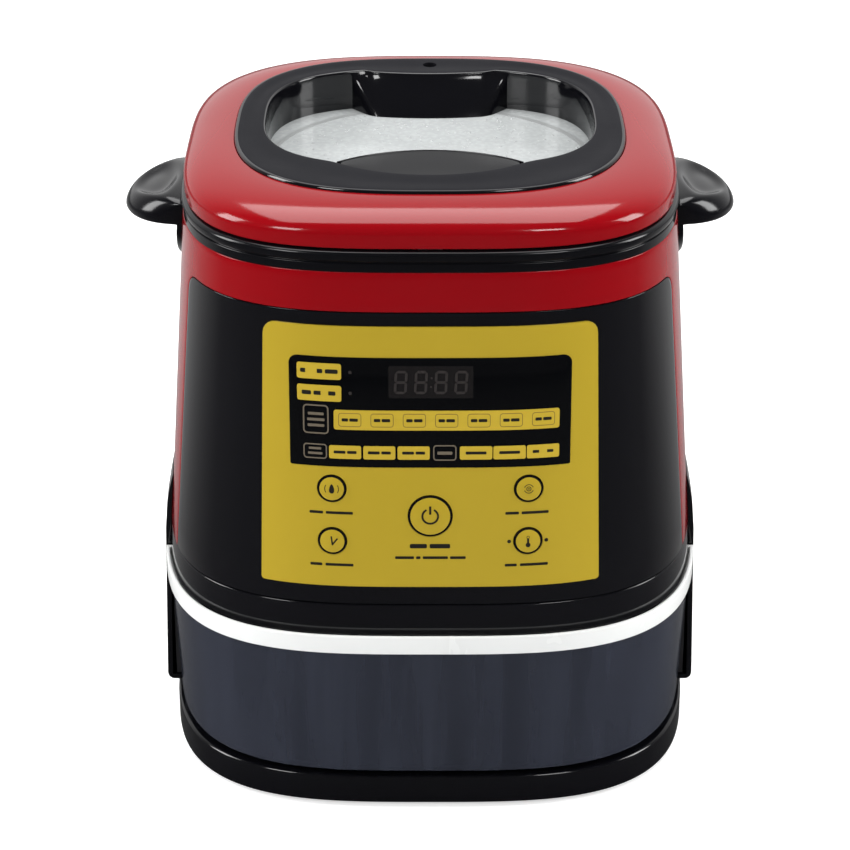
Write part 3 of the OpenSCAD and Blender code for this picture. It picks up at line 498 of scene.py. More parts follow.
def make_handling_group():
    """Handling marks: roughness that drifts between two values with faint wipes."""
    tree, take, give = shader_group(
        "Handling Marks",
        [("Vector", VECTOR, None), ("Scale", FLOAT, 14.0), ("Smooth", FLOAT, 0.1), ("Rough", FLOAT, 0.2)],
        [("Roughness", FLOAT)])
    stretch = node(tree, "ShaderNodeMapping", {"Scale": (1.0, 1.0, 0.35)})
    drift = node(tree, "ShaderNodeTexNoise", {"Detail": 5.0, "Roughness": 0.62, "Distortion": 0.4})
    level = node(tree, "ShaderNodeMapRange", {"From Min": 0.32, "From Max": 0.72})
    links = tree.links
    links.new(take.outputs["Vector"], stretch.inputs["Vector"])
    links.new(stretch.outputs["Vector"], drift.inputs["Vector"])
    links.new(take.outputs["Scale"], drift.inputs["Scale"])
    links.new(drift.outputs["Fac"], level.inputs["Value"])
    links.new(take.outputs["Smooth"], level.inputs["To Min"])
    links.new(take.outputs["Rough"], level.inputs["To Max"])
    links.new(level.outputs["Result"], give.inputs["Roughness"])
    return tree


def make_tone_group():
    """Tone drift: a colour that leans to a second one in soft patches."""
    tree, take, give = shader_group(
        "Tone Drift",
        [("Vector", VECTOR, None), ("Scale", FLOAT, 9.0), ("Tone A", COLOUR, None), ("Tone B", COLOUR, None)],
        [("Color", COLOUR)])
    patch = node(tree, "ShaderNodeTexNoise", {"Detail": 4.0, "Roughness": 0.55})
    blend = node(tree, "ShaderNodeMix", data_type="RGBA")
    links = tree.links
    links.new(take.outputs["Vector"], patch.inputs["Vector"])
    links.new(take.outputs["Scale"], patch.inputs["Scale"])
    links.new(patch.outputs["Fac"], blend.inputs[0])
    links.new(take.outputs["Tone A"], blend.inputs[6])
    links.new(take.outputs["Tone B"], blend.inputs[7])
    links.new(blend.outputs[2], give.inputs["Color"])
    return tree


def make_brushed_group():
    """Brushed lines: long fine scratches along one axis, as a height and a mask."""
    tree, take, give = shader_group(
        "Brushed Lines",
        [("Vector", VECTOR, None), ("Stretch", VECTOR, (1.0, 1.0, 60.0)), ("Scale", FLOAT, 40.0)],
        [("Height", FLOAT), ("Mask", FLOAT)])
    pull = node(tree, "ShaderNodeMapping")
    lines = node(tree, "ShaderNodeTexNoise", {"Detail": 6.0, "Roughness": 0.7})
    level = node(tree, "ShaderNodeMapRange", {"From Min": 0.35, "From Max": 0.65})
    links = tree.links
    links.new(take.outputs["Vector"], pull.inputs["Vector"])
    links.new(take.outputs["Stretch"], pull.inputs["Scale"])
    links.new(pull.outputs["Vector"], lines.inputs["Vector"])
    links.new(take.outputs["Scale"], lines.inputs["Scale"])
    links.new(lines.outputs["Fac"], level.inputs["Value"])
    links.new(lines.outputs["Fac"], give.inputs["Height"])
    links.new(level.outputs["Result"], give.inputs["Mask"])
    return tree


groups = {}


def make_groups():
    groups.update(
        grain=make_grain_group(), handling=make_handling_group(), tone=make_tone_group(),
        brushed=make_brushed_group())


# ---------------------------------------------------------------- materials

materials = {}


def use_group(tree, key, vector, **inputs):
    placed = tree.nodes.new("ShaderNodeGroup")
    placed.node_tree = groups[key]
    tree.links.new(vector, placed.inputs["Vector"])
    for label, value in inputs.items():
        placed.inputs[label.replace("_", " ")].default_value = value
    return placed


def rgba(colour, share=1.0):
    return tuple(min(c * share, 1.0) for c in colour[:3]) + (1.0,)


def new_finish(
        name, colour, second=None, rough=(0.2, 0.3), grain=(900.0, 0.02), metallic=0.0, brushed=None,
        marks_scale=14.0, tone_scale=9.0, **sockets):
    """Principled material with tone drift, handling marks and a moulded or brushed surface."""
    material = bpy.data.materials.new(name)
    material.use_nodes = True
    tree = material.node_tree
    shader = tree.nodes["Principled BSDF"]
    links = tree.links
    place = node(tree, "ShaderNodeTexCoord").outputs["Object"]
    second = [c * 0.82 for c in colour[:3]] if second is None else second
    tone = use_group(tree, "tone", place, Scale=tone_scale, Tone_A=rgba(colour), Tone_B=rgba(second))
    marks = use_group(tree, "handling", place, Scale=marks_scale, Smooth=rough[0], Rough=rough[1])
    bump = node(tree, "ShaderNodeBump", {"Strength": 1.0, "Distance": grain[1] * MM})
    if brushed:
        lines = use_group(tree, "brushed", place, Stretch=brushed, Scale=grain[0])
        links.new(lines.outputs["Height"], bump.inputs["Height"])
    else:
        pits = use_group(tree, "grain", place, Scale=grain[0])
        links.new(pits.outputs["Height"], bump.inputs["Height"])
    links.new(tone.outputs["Color"], shader.inputs["Base Color"])
    links.new(marks.outputs["Roughness"], shader.inputs["Roughness"])
    links.new(bump.outputs["Normal"], shader.inputs["Normal"])
    shader.inputs["Metallic"].default_value = metallic
    for label, value in sockets.items():
        shader.inputs[label.replace("_", " ")].default_value = value
    material.diffuse_color = rgba(colour)
    materials[name] = material
    return material


def add_window_haze(name, colour):
    """Condensation under the window: fine mist with clear and cloudy patches."""
    material = new_finish(
        name, colour, [c * 0.8 for c in colour[:3]], rough=(0.1, 0.3), grain=(500.0, 0.03), tone_scale=30.0,
        Specular_IOR_Level=0.5)
    tree = material.node_tree
    shader, links = tree.nodes["Principled BSDF"], tree.links
    place = next(n for n in tree.nodes if n.type == "TEX_COORD").outputs["Object"]
    beads = node(tree, "ShaderNodeTexVoronoi", {"Scale": 420.0, "Randomness": 1.0}, feature="SMOOTH_F1")
    level = node(
        tree, "ShaderNodeMapRange", {"From Min": 0.0, "From Max": 0.55, "To Min": 1.06, "To Max": 0.9})
    shade = node(tree, "ShaderNodeMix", {0: 1.0}, data_type="RGBA", blend_type="MULTIPLY")
    tone = shader.inputs["Base Color"].links[0].from_socket
    links.new(place, beads.inputs["Vector"])
    links.new(beads.outputs["Distance"], level.inputs["Value"])
    links.new(tone, shade.inputs[6])
    links.new(level.outputs["Result"], shade.inputs[7])
    links.new(shade.outputs[2], shader.inputs["Base Color"])
    return material


def add_painted_highlight_streaks(name, colour):
    """See-through drawer wall with painted highlight streaks: faint diagonal bands that lighten its colour in
    place of reflections.
    """
    material = new_finish(
        name, colour, [c * 0.8 for c in colour[:3]], rough=(0.12, 0.2), grain=(60.0, 0.003),
        Transmission_Weight=0.3, IOR=1.49, Specular_IOR_Level=0.3)
    tree = material.node_tree
    shader, links = tree.nodes["Principled BSDF"], tree.links
    place = next(n for n in tree.nodes if n.type == "TEX_COORD").outputs["Object"]
    # Painted highlight: diagonal streaks lighten the wall's colour, standing in for reflections of the lights
    slant = node(tree, "ShaderNodeMapping", {"Rotation": (0.0, 0.75, 0.0), "Scale": (60.0, 6.0, 5.0)})
    painted_streak = node(tree, "ShaderNodeTexNoise", {"Scale": 1.0, "Detail": 3.0, "Roughness": 0.6})
    level = node(
        tree, "ShaderNodeMapRange", {"From Min": 0.35, "From Max": 0.7, "To Min": 0.84, "To Max": 1.22})
    shade = node(tree, "ShaderNodeMix", {0: 1.0}, data_type="RGBA", blend_type="MULTIPLY")
    tone = shader.inputs["Base Color"].links[0].from_socket
    links.new(place, slant.inputs["Vector"])
    links.new(slant.outputs["Vector"], painted_streak.inputs["Vector"])
    links.new(painted_streak.outputs["Fac"], level.inputs["Value"])
    links.new(tone, shade.inputs[6])
    links.new(level.outputs["Result"], shade.inputs[7])
    links.new(shade.outputs[2], shader.inputs["Base Color"])
    return material


def add_board(name, colour):
    """Circuit board: solder mask with raised tracks."""
    material = new_finish(name, colour, rough=(0.3, 0.45), grain=(500.0, 0.01))
    tree = material.node_tree
    shader, links = tree.nodes["Principled BSDF"], tree.links
    place = next(n for n in tree.nodes if n.type == "TEX_COORD").outputs["Object"]
    tracks = node(
        tree, "ShaderNodeTexBrick",
        {
            "Scale": 90.0, "Mortar Size": 0.05, "Color1": rgba(colour), "Color2": rgba(colour, 1.3),
            "Mortar": rgba(colour, 0.5)})
    turn_up = node(tree, "ShaderNodeMapping", {"Rotation": (math.pi / 2, 0.0, 0.0)})
    links.new(place, turn_up.inputs["Vector"])
    links.new(turn_up.outputs["Vector"], tracks.inputs["Vector"])
    links.new(tracks.outputs["Color"], shader.inputs["Base Color"])
    return material


def add_floor(name, stage):
    """White paper that shows only dimly in reflections in front of the object."""
    paper = tuple(stage.floor)
    material = new_finish(
        name, paper, [c * 0.985 for c in paper], rough=(0.7, 0.85), grain=(200.0, 0.02),
        Specular_IOR_Level=0.1)
    tree = material.node_tree
    shader, links = tree.nodes["Principled BSDF"], tree.links
    place = next(n for n in tree.nodes if n.type == "TEX_COORD").outputs["Object"]
    split = node(tree, "ShaderNodeSeparateXYZ")
    shine = node(
        tree, "ShaderNodeMapRange",
        {"From Min": -0.1, "From Max": 0.6, "To Min": stage.floor_shine, "To Max": 0.45})
    tone = shader.inputs["Base Color"].links[0].from_socket
    dim = node(tree, "ShaderNodeMix", {0: 1.0}, data_type="RGBA", blend_type="MULTIPLY")
    pick = node(tree, "ShaderNodeMix", data_type="RGBA")
    rays = tree.nodes.new("ShaderNodeLightPath")
    lift = node(tree, "ShaderNodeMath", operation="MULTIPLY")
    lift.inputs[1].default_value = 0.55
    links.new(place, split.inputs["Vector"])
    links.new(split.outputs["Y"], shine.inputs["Value"])
    links.new(tone, dim.inputs[6])
    links.new(shine.outputs["Result"], dim.inputs[7])
    links.new(rays.outputs["Is Glossy Ray"], pick.inputs[0])
    links.new(tone, pick.inputs[6])
    links.new(dim.outputs[2], pick.inputs[7])
    links.new(pick.outputs[2], shader.inputs["Base Color"])
    links.new(rays.outputs["Is Camera Ray"], lift.inputs[0])
    links.new(lift.outputs[0], shader.inputs["Emission Strength"])
    shader.inputs["Emission Color"].default_value = (1, 1, 1, 1)
    return material


def make_materials(scene):
    covers, controls = scene.cooker_covers, scene.cooker_controls
    lid, drawer = scene.cooker_lid, scene.cooker_drawer
    new_finish(
        "red gloss", covers.red, [c * 1.12 for c in covers.red], rough=(0.1, 0.16), grain=(200.0, 0.006),
        Specular_IOR_Level=0.3, Coat_Weight=0.16, Coat_Roughness=0.03)
    new_finish(
        "black gloss", covers.black, [c * 1.6 for c in covers.black], rough=(0.07, 0.13),
        grain=(240.0, 0.004), Specular_IOR_Level=0.5)
    new_finish(
        "collar gloss", covers.black, [c * 1.5 for c in covers.black], rough=(0.13, 0.2),
        grain=(300.0, 0.006), Specular_IOR_Level=0.36)
    new_finish(
        "matte black", lid.bezel, [c * 1.15 for c in lid.bezel], rough=(0.46, 0.56), grain=(1300.0, 0.02),
        Specular_IOR_Level=0.05)
    # Painted shade: this colour is darker than the bezel's so that the dished scoop reads darker
    new_finish(
        "scoop black with painted shade", lid.scoop, [c * 1.4 for c in lid.scoop], rough=(0.34, 0.44), grain=(1500.0, 0.016),
        Specular_IOR_Level=0.2)
    new_finish("inner black", (0.02, 0.02, 0.023), rough=(0.45, 0.6), grain=(900.0, 0.03))
    new_finish(
        "gold film", controls.gold, [controls.gold[0] * 0.9, controls.gold[1] * 0.92, controls.gold[2] * 0.8],
        rough=(0.3, 0.38), grain=(60.0, 0.006), metallic=0.35, brushed=(1.0, 1.0, 26.0), tone_scale=6.0,
        Coat_Weight=0.15, Coat_Roughness=0.2)
    new_finish(
        "gold print", [c * 1.05 for c in controls.gold], rough=(0.35, 0.45), grain=(800.0, 0.004),
        metallic=0.2)
    new_finish("dark print", controls.ink, rough=(0.4, 0.5), grain=(800.0, 0.004))
    new_finish("pale outline", (0.16, 0.13, 0.09), rough=(0.35, 0.45), grain=(500.0, 0.002))
    new_finish("thin line", (0.2, 0.12, 0.02), rough=(0.4, 0.5), grain=(500.0, 0.002))
    new_finish(
        "display gloss", (0.0022, 0.0024, 0.003), rough=(0.08, 0.12), grain=(200.0, 0.002),
        Specular_IOR_Level=0.3)
    new_finish("dim segments", (0.034, 0.029, 0.028), rough=(0.25, 0.3), grain=(500.0, 0.002))
    new_finish("segment field", (0.0095, 0.0082, 0.0085), rough=(0.2, 0.25), grain=(500.0, 0.002))
    new_finish(
        "white rim", (0.82, 0.83, 0.82), [0.76, 0.77, 0.765], rough=(0.2, 0.3), grain=(300.0, 0.01),
        Subsurface_Weight=0.0)
    new_finish("rubber", (0.018, 0.018, 0.02), rough=(0.6, 0.75), grain=(1100.0, 0.05))
    new_finish("silicone", (0.66, 0.66, 0.64), rough=(0.45, 0.55), grain=(700.0, 0.03))
    new_finish(
        "steel", (0.56, 0.56, 0.57), rough=(0.22, 0.34), grain=(50.0, 0.01), metallic=1.0,
        brushed=(1.0, 1.0, 30.0))
    new_finish(
        "polished steel", (0.62, 0.62, 0.63), rough=(0.14, 0.24), grain=(40.0, 0.006), metallic=1.0,
        brushed=(1.0, 1.0, 30.0))
    new_finish(
        "aluminium", (0.68, 0.69, 0.70), rough=(0.3, 0.42), grain=(45.0, 0.02), metallic=1.0,
        brushed=(30.0, 1.0, 1.0))
    new_finish(
        "pot coating", (0.085, 0.085, 0.09), [0.11, 0.11, 0.115], rough=(0.32, 0.42), grain=(1500.0, 0.02),
        metallic=0.4)
    new_finish("grey plastic", (0.5, 0.5, 0.49), rough=(0.35, 0.5), grain=(700.0, 0.02))
    new_finish(
        "copper", (0.62, 0.24, 0.11), rough=(0.25, 0.4), grain=(60.0, 0.02), metallic=1.0,
        brushed=(60.0, 1.0, 1.0))
    new_finish(
        "contact", (0.66, 0.52, 0.28), rough=(0.22, 0.34), grain=(60.0, 0.01), metallic=1.0,
        brushed=(1.0, 30.0, 1.0))
    new_finish(
        "water drop", (0.9, 0.92, 0.92), rough=(0.02, 0.05), grain=(60.0, 0.001), Transmission_Weight=0.6,
        IOR=1.33)
    new_finish("window edge", (0.3, 0.31, 0.31), rough=(0.25, 0.4), grain=(300.0, 0.01))
    add_window_haze("window haze", lid.haze)
    add_painted_highlight_streaks("smoky clear", drawer.smoke)
    add_board("circuit board", (0.02, 0.11, 0.045))
    add_floor("studio floor", scene.cooker_stage)


NODE_FINISHES = {
    "rubber": ["rubber_feet"],
    "inner black": [
        "bottom_plate", "bay_wall", "body_floor", "housing_neck", "housing_deck", "display_module",
        "sensor_guide", "lid_base", "vent_duct"],
    "steel": [
        "bottom_screws", "body_screws", "handle_screws", "lid_screws", "sensor_spring", "button_springs",
        "hinge_spring", "hinge_pin", "heater_element", "valve_plunger", "latch_striker"],
    "polished steel": ["rice_basket", "inner_lid"],
    "aluminium": ["chamber_liner", "heater_plate", "sensor_plunger"], "pot coating": ["inner_pot"],
    "circuit board": ["control_board", "power_board"],
    "grey plastic": ["drain_cup", "drain_valve", "drain_spout", "latch_slider"], "copper": ["valve_coil"],
    "contact": ["inlet_pins"],
    "black gloss": [
        "power_inlet", "hinge_bracket", "key_upper_left", "key_lower_left", "key_upper_right",
        "key_lower_right", "key_start"],
    "silicone": ["lid_seal"], "window haze": ["lid_window"],}


def dress_frame():
    """Gives every frame node that stays in view its finish."""
    for finish, nodes in NODE_FINISHES.items():
        for name in nodes:
            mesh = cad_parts[name].data
            mesh.materials.clear()
            mesh.materials.append(materials[finish])


# ---------------------------------------------------------------- base, housing and body


def make_base():
    a, b = body_half(BODY_LOW)
    a, b = a - 0.8, b - 3
    outer = rounded(
        [
            (-8, BASE_LOW + 3, 0), (-2.7, BASE_LOW + 3, 0), (-2.7, BASE_LOW, 0.6), (0, BASE_LOW, 2.2),
            (0, BASE_TOP, 2.0), (-9, BASE_TOP, 0)],
        5, False)
    rings = [squircle(a - 2.7, b - 2.7, SQUARE, BASE_TOP - 2.5)] + [
        squircle(a + d, b + d, SQUARE, z) for d, z in outer[1:]]
    tray = swept("base_tray_cover", rings, closed=False, capped=True)
    runner = a * 0.47
    for side in (-1, 1):
        for rail in (-1, 1):
            x = side * (runner + rail * 4.5)
            rail_low, rail_high = -TANK_Y + 22, -TANK_BACK - 6
            bar = box_tool((x - 1, rail_low, BASE_TOP - 0.2), (x + 1, rail_high, BASE_TOP + 1.3), 0.4)
            bpy.context.view_layer.update()
            tray = join("base_tray_cover", tray, bar)
    return finish_piece(tray, "base", materials["black gloss"], ["base_tray"])


def make_housing():
    covers = bpy.context.scene.cooker_covers
    wall = covers.wall / MM
    a0, b0 = HOUSING_X, HOUSING_Y
    outer = [
        (a0 - 3, b0 - 3, TANK_LOW), (a0 - 1.7, b0 - 1.7, TANK_LOW + 0.4),
        (a0 - 0.6, b0 - 0.6, TANK_LOW + 1.5), (a0 - 0.1, b0 - 0.1, TANK_LOW + 3), (a0, b0, TANK_LOW + 4)]
    cheek = CHEEK_TOP - BODY_LOW
    for share, grow in ((0.25, 2.9), (0.54, 2.75), (0.66, 2.5), (0.8, 1.9), (0.9, 1.25), (1.0, 0.55)):
        z = BODY_LOW + cheek * share
        x, y = body_half(z)
        outer.append((x + grow, y + grow, z))
    low_in, low_body, top_in = TANK_LOW + wall, body_half(BODY_LOW), body_half(CHEEK_TOP)
    inner = [
        (top_in[0] + 0.15, top_in[1] + 0.15, CHEEK_TOP), (low_body[0] + 0.15, low_body[1] + 0.15, BODY_LOW),
        (a0 - wall, b0 - wall, low_in), (a0 - 14, b0 - 14, low_in), (a0 - 14, b0 - 14, TANK_LOW)]
    rings = []
    for x, y, z in outer + inner:
        front = angle_at_front(x, y, SQUARE, HOUSING_FRONT)
        rings.append(squircle(x, y, SQUARE, z, np.linspace(front, math.pi - front, 200)))
    sections = [np.array([r[c] for r in rings]) for c in range(200)]
    housing = strip("rear_housing_cover", sections)
    inlet_low, inlet_high = lowest("power_inlet"), highest("power_inlet")
    middle = (inlet_low[2] + inlet_high[2]) / 2
    cut(housing, box_tool((-14.6, b0 - 30, middle - 12.1), (14.6, b0 + 5, middle + 12.1)))
    bevel(housing, 0.5, 40)
    return finish_piece(housing, "base", materials["black gloss"], ["rear_housing"])


def profile_ring(name, profile, half):
    """Closed moulding whose (offset, height) outline runs round the body."""
    return swept(name, [squircle(*(np.array(half(z)) + d), SQUARE, z) for d, z in profile])


def make_lower_trim():
    wall = bpy.context.scene.cooker_covers.wall / MM
    outline = rounded(
        [(0, BODY_LOW, 0.5), (0, TRIM_TOP, 0.7), (-wall, TRIM_TOP, 0.3), (-wall, BODY_LOW, 0.3)], 3)
    trim = profile_ring("lower_trim_cover", outline, body_half)
    return finish_piece(trim, "base", materials["black gloss"], ["lower_trim"])


def panel_rows(inset):
    """Heights of the panel opening's rows, each with the distance forwards of its side edge."""
    covers = bpy.context.scene.cooker_covers
    back, r = covers.panel_back / MM, covers.panel_corner / MM
    rows = [(z, back + inset) for z in np.linspace(SHELL_LOW, PANEL_TOP - r, 12)]
    for a in np.linspace(0, math.pi / 2, 9)[1:]:
        rows.append((PANEL_TOP - r + (r - inset) * math.sin(a), back + r - (r - inset) * math.cos(a)))
    return rows


def body_columns(z, edge, around=170, across=120):
    """Angles of a body row whose columns start and end on the panel's side edges."""
    a, b = body_half(z)
    right = angle_at_front(a, b, SQUARE, edge)
    return np.linspace(right, math.pi - right, around + 1), np.linspace(
        math.pi - right, 2 * math.pi + right, across + 1)


def make_body_shell():
    covers = bpy.context.scene.cooker_covers
    rows = panel_rows(0)
    opening = len(rows)
    rows += [(z, rows[-1][1]) for z in np.linspace(PANEL_TOP, BODY_TOP, 6)[1:]]
    points, cells, around, total = [], [], 170, 290
    for z, edge in rows:
        outside, front = body_columns(z, edge)
        points.append(body_ring(0, z, np.concatenate([outside, front[1:-1]])))
    for r in range(len(rows) - 1):
        for c in range(around if r < opening - 1 else total):
            along = (c + 1) % total
            cells.append((r * total + c, r * total + along, (r + 1) * total + along, (r + 1) * total + c))
    shell = add_object("body_shell_cover", np.concatenate(points), cells)
    modify(shell, "SOLIDIFY", thickness=covers.wall, offset=-1, use_even_offset=True)
    bake(shell)
    bevel(shell, covers.edge / MM, 40, 3)
    return finish_piece(shell, "base", materials["red gloss"], ["body_shell"])


def key_cutters(margin=0.4):
    cutters = []
    for name, (x, z) in KEYS.items():
        radius = 10 if name == "key_start" else 6.5
        plug = turned("tool", [(radius + margin, -14), (radius + margin, 12)], 64)
        cutters.append(on_panel(plug, x, z))
    return cutters


def make_front_panel():
    covers = bpy.context.scene.cooker_covers
    rows = panel_rows(0.35)
    points = [body_ring(0, z, body_columns(z, edge)[1]) for z, edge in rows]
    panel = add_object("front_panel_cover", np.concatenate(points), grid_cells(len(rows), 121))
    modify(panel, "SOLIDIFY", thickness=covers.wall - 0.2 * MM, offset=-1, use_even_offset=True)
    bake(panel)
    bevel(panel, 0.35, 40, 2)
    cut(panel, *key_cutters())
    return finish_piece(panel, "base", materials["black gloss"], ["front_panel"])


def make_collar():
    stand = bpy.context.scene.cooker_covers.bead / MM
    bore = (highest("inner_pot")[0] - lowest("inner_pot")[0]) / 2
    low, high = BODY_TOP, COLLAR_TOP
    outline = rounded(
        [
            (-0.2, low, 0.3), (-0.2, high - 6.2, 0.3), (-0.9, high - 5.9, 0.2), (-0.9, high - 5.3, 0.2),
            (0.1, high - 5.0, 0.4), (stand, high - 3.4, 1.6), (stand - 0.1, high - 1.0, 1.6),
            (-1.6, high, 1.2)],
        3, False)
    rings = [squircle(TOP_X + d, TOP_Y + d, SQUARE, z) for d, z in outline]
    for radius, z in (
            (bore + 1.9, high), (bore + 1.5, high - 0.4), (bore + 1.5, POT_RIM), (bore - 5.1, POT_RIM),
            (bore - 5.5, POT_RIM - 0.4), (bore - 5.5, low)):
        rings.append(squircle(radius, radius, 2, z))
    collar = swept("rim_collar_cover", rings)
    striker_low, striker_high = lowest("latch_striker"), highest("latch_striker")
    cut(collar, box_tool((striker_low[0], striker_low[1], low + 1), (striker_high[0], -bore + 1, high + 2)))
    return finish_piece(collar, "base", materials["collar gloss"], ["rim_collar"], sharp=30)


# ---------------------------------------------------------------- handles

HANDLE_PROFILE = [
    (-2.6, 14.4), (3, 15.2), (9, 15.5), (15, 14.9), (20.5, 13.0), (25.0, 9.9), (28.0, 6.3), (29.4, 3.0),
    (29.2, 0.6), (27.0, -1.1), (22, -1.9), (15, -2.3), (8, -2.7), (2, -3.2), (-2.6, -3.6)]


def smooth_line(points, count):
    """Evenly spaced points on a smooth curve through control points."""
    points = np.asarray(points, float)
    padded = np.vstack([2 * points[0] - points[1], points, 2 * points[-1] - points[-2]])
    dense = []
    for i in range(1, len(padded) - 2):
        p0, p1, p2, p3 = padded[i - 1:i + 3]
        for t in np.linspace(0, 1, 12, endpoint=False):
            dense.append(
                0.5 * (
                    2 * p1 + (p2 - p0) * t + (2 * p0 - 5 * p1 + 4 * p2 - p3) * t * t
                    + (3 * p1 - p0 - 3 * p2 + p3) * t ** 3))
    dense = np.array(dense + [padded[-2]])
    travel = np.concatenate([[0], np.cumsum(np.linalg.norm(np.diff(dense, axis=0), axis=1))])
    at = np.linspace(0, travel[-1], count)
    return np.stack([np.interp(at, travel, dense[:, k]) for k in range(dense.shape[1])], 1)


def body_side(y, z):
    """Distance from the middle sideways to the body's surface."""
    a, b = body_half(z)
    return a * (1 - (abs(y) / b) ** SQUARE) ** (1 / SQUARE)


def make_leaf(side, middle):
    """Thin leaf under a handle that lies against the body and tapers to a point."""
    sizes = bpy.context.scene.cooker_handles
    half, drop, proud = sizes.half_length / MM, sizes.leaf_drop / MM, sizes.leaf_proud / MM
    sections = []
    for u in np.linspace(-0.97, 0.97, 49):
        foot = middle - 2 - (drop - 2) * (1 - abs(u)) ** 0.62
        outline = rounded(
            [(-1.5, middle + 3, 0), (proud, middle + 3, 0), (proud, foot, 1.6), (-1.5, foot, 0.3)], 5)
        sections.append(
            np.array([(side * (body_side(u * half, z) + out), u * half, z) for out, z in outline]))
    return strip("handle_leaf", sections)


def make_handle(side):
    sizes = bpy.context.scene.cooker_handles
    half, depth = sizes.half_length / MM, sizes.dish_depth / MM
    middle = BODY_TOP - 12.5
    outline = smooth_line(HANDLE_PROFILE, 64)
    sections = []
    for u in np.sin(np.linspace(-math.pi / 2, math.pi / 2, 65)):
        share = (1 - abs(u) ** 2.1) ** 0.52
        y = u * half
        root = body_side(y, middle)
        out = np.where(outline[:, 0] > 0, outline[:, 0] * (0.05 + 0.95 * share), outline[:, 0])
        z = middle + 5 + (outline[:, 1] - 5) * (0.5 + 0.5 * share)
        lean_in = (z - middle) * (LOW_X - TOP_X) / (BODY_TOP - BODY_LOW)
        pocket = np.exp(-(((outline[:, 0] - 15.0) / 9.6) ** 2 + (y / 20.5) ** 2) ** 2.6) * (outline[:, 1] > 5)
        sections.append(
            np.stack([side * (root + out - lean_in), np.full(len(out), y), z - depth * pocket], 1))
    name = "handle_left" if side < 0 else "handle_right"
    handle = strip(name + "_grip", sections)
    modify(handle, "SUBSURF", levels=1, render_levels=1)
    bake(handle)
    handle = join(name + "_grip", handle, make_leaf(side, middle))
    return finish_piece(handle, "base", materials["collar gloss"], [name], sharp=60)


# ---------------------------------------------------------------- control panel


def gather(name, tiles, squeeze):
    """Tiles joined in one object, squeezed sideways by a share."""
    points, cells = [], []
    for tile_points, tile_cells in tiles:
        cells += [tuple(i + len(points) for i in cell) for cell in tile_cells]
        points += [(x * squeeze, z, level) for x, z, level in tile_points]
    return add_object(name, points, cells)


def add_tiles(name, tiles, material, squeeze=1.0):
    piece = wrap_on_panel(gather(name, tiles, squeeze))
    return finish_piece(piece, "base", material, sharp=40, weld=0.0005)


def make_overlay():
    sizes = bpy.context.scene.cooker_controls
    lift, flare = sizes.overlay_lift / MM, sizes.overlay_flare / MM
    half = (highest("control_overlay")[0] - lowest("control_overlay")[0]) / 2 - flare
    points, cells = tile(
        -half, half, OVERLAY_LOW, OVERLAY_TOP, 1.5, lift, lift - 0.06, step=2.0,
        top_corner=sizes.overlay_corner / MM)
    spread = flare / half / (OVERLAY_TOP - OVERLAY_LOW)
    points = [(x * (1 + spread * (OVERLAY_TOP - z)), z, level) for x, z, level in points]
    overlay = wrap_on_panel(add_object("control_overlay_film", points, cells))
    cut(overlay, *key_cutters())
    bevel(overlay, 0.22, 50, 2)
    return finish_piece(overlay, "base", materials["gold film"], ["control_overlay"], sharp=30)


def make_display():
    sizes = bpy.context.scene.cooker_controls
    lift, half = sizes.lens_lift / MM, (highest("display_window")[0] - lowest("display_window")[0]) / 2
    points, cells = tile(-half, half, DISPLAY_LOW, DISPLAY_TOP, 0.8, lift, 0.3, step=1.6, top_corner=4)
    display = wrap_on_panel(add_object("display_lens", points, cells))
    bevel(display, 0.12, 50, 2)
    return finish_piece(
        display, "base", materials["display gloss"], ["display_window"], sharp=30)


def row_tree():
    """Geometry Nodes tree that sets copies of one mark along a row."""
    tree = bpy.data.node_groups.new("Marks In A Row", "GeometryNodeTree")
    for label, kind, default in (
            ("Mark", "NodeSocketGeometry", None), ("Count", "NodeSocketInt", 4),
            ("Pitch", "NodeSocketFloat", 0.01), ("Finish", "NodeSocketMaterial", None)):
        socket = tree.interface.new_socket(name=label, in_out="INPUT", socket_type=kind)
        if default is not None:
            socket.default_value = default
    tree.interface.new_socket(name="Row", in_out="OUTPUT", socket_type="NodeSocketGeometry")
    take, give = tree.nodes.new("NodeGroupInput"), tree.nodes.new("NodeGroupOutput")
    line = node(tree, "GeometryNodeMeshLine", mode="OFFSET")
    offset = node(tree, "ShaderNodeCombineXYZ")
    place = node(tree, "GeometryNodeInstanceOnPoints")
    real = node(tree, "GeometryNodeRealizeInstances")
    paint = node(tree, "GeometryNodeSetMaterial")
    links = tree.links
    links.new(take.outputs["Count"], line.inputs["Count"])
    links.new(take.outputs["Pitch"], offset.inputs["X"])
    links.new(offset.outputs["Vector"], line.inputs["Offset"])
    links.new(line.outputs["Mesh"], place.inputs["Points"])
    links.new(take.outputs["Mark"], place.inputs["Instance"])
    links.new(place.outputs["Instances"], real.inputs["Geometry"])
    links.new(real.outputs["Geometry"], paint.inputs["Geometry"])
    links.new(take.outputs["Finish"], paint.inputs["Material"])
    links.new(paint.outputs["Geometry"], give.inputs["Row"])
    return tree


def set_input(modifier, label, value):
    for item in modifier.node_group.interface.items_tree:
        if item.item_type == "SOCKET" and item.in_out == "INPUT" and item.name == label:
            modifier[item.identifier] = value
            return
    raise RuntimeError("the node tree has no input named " + label)


def row_of(name, tiles, count, pitch, material, squeeze=1.0):
    """A row of like marks on the panel, spaced by the row tree."""
    row = gather(name, tiles, squeeze)
    step = row.modifiers.new("Row", "NODES")
    step.node_group = bpy.data.node_groups.get("Marks In A Row") or row_tree()
    set_input(step, "Count", count)
    set_input(step, "Pitch", pitch * squeeze * MM)
    set_input(step, "Finish", material)
    bake(row)
    return finish_piece(wrap_on_panel(row), "base", material, sharp=40, weld=0.0005)


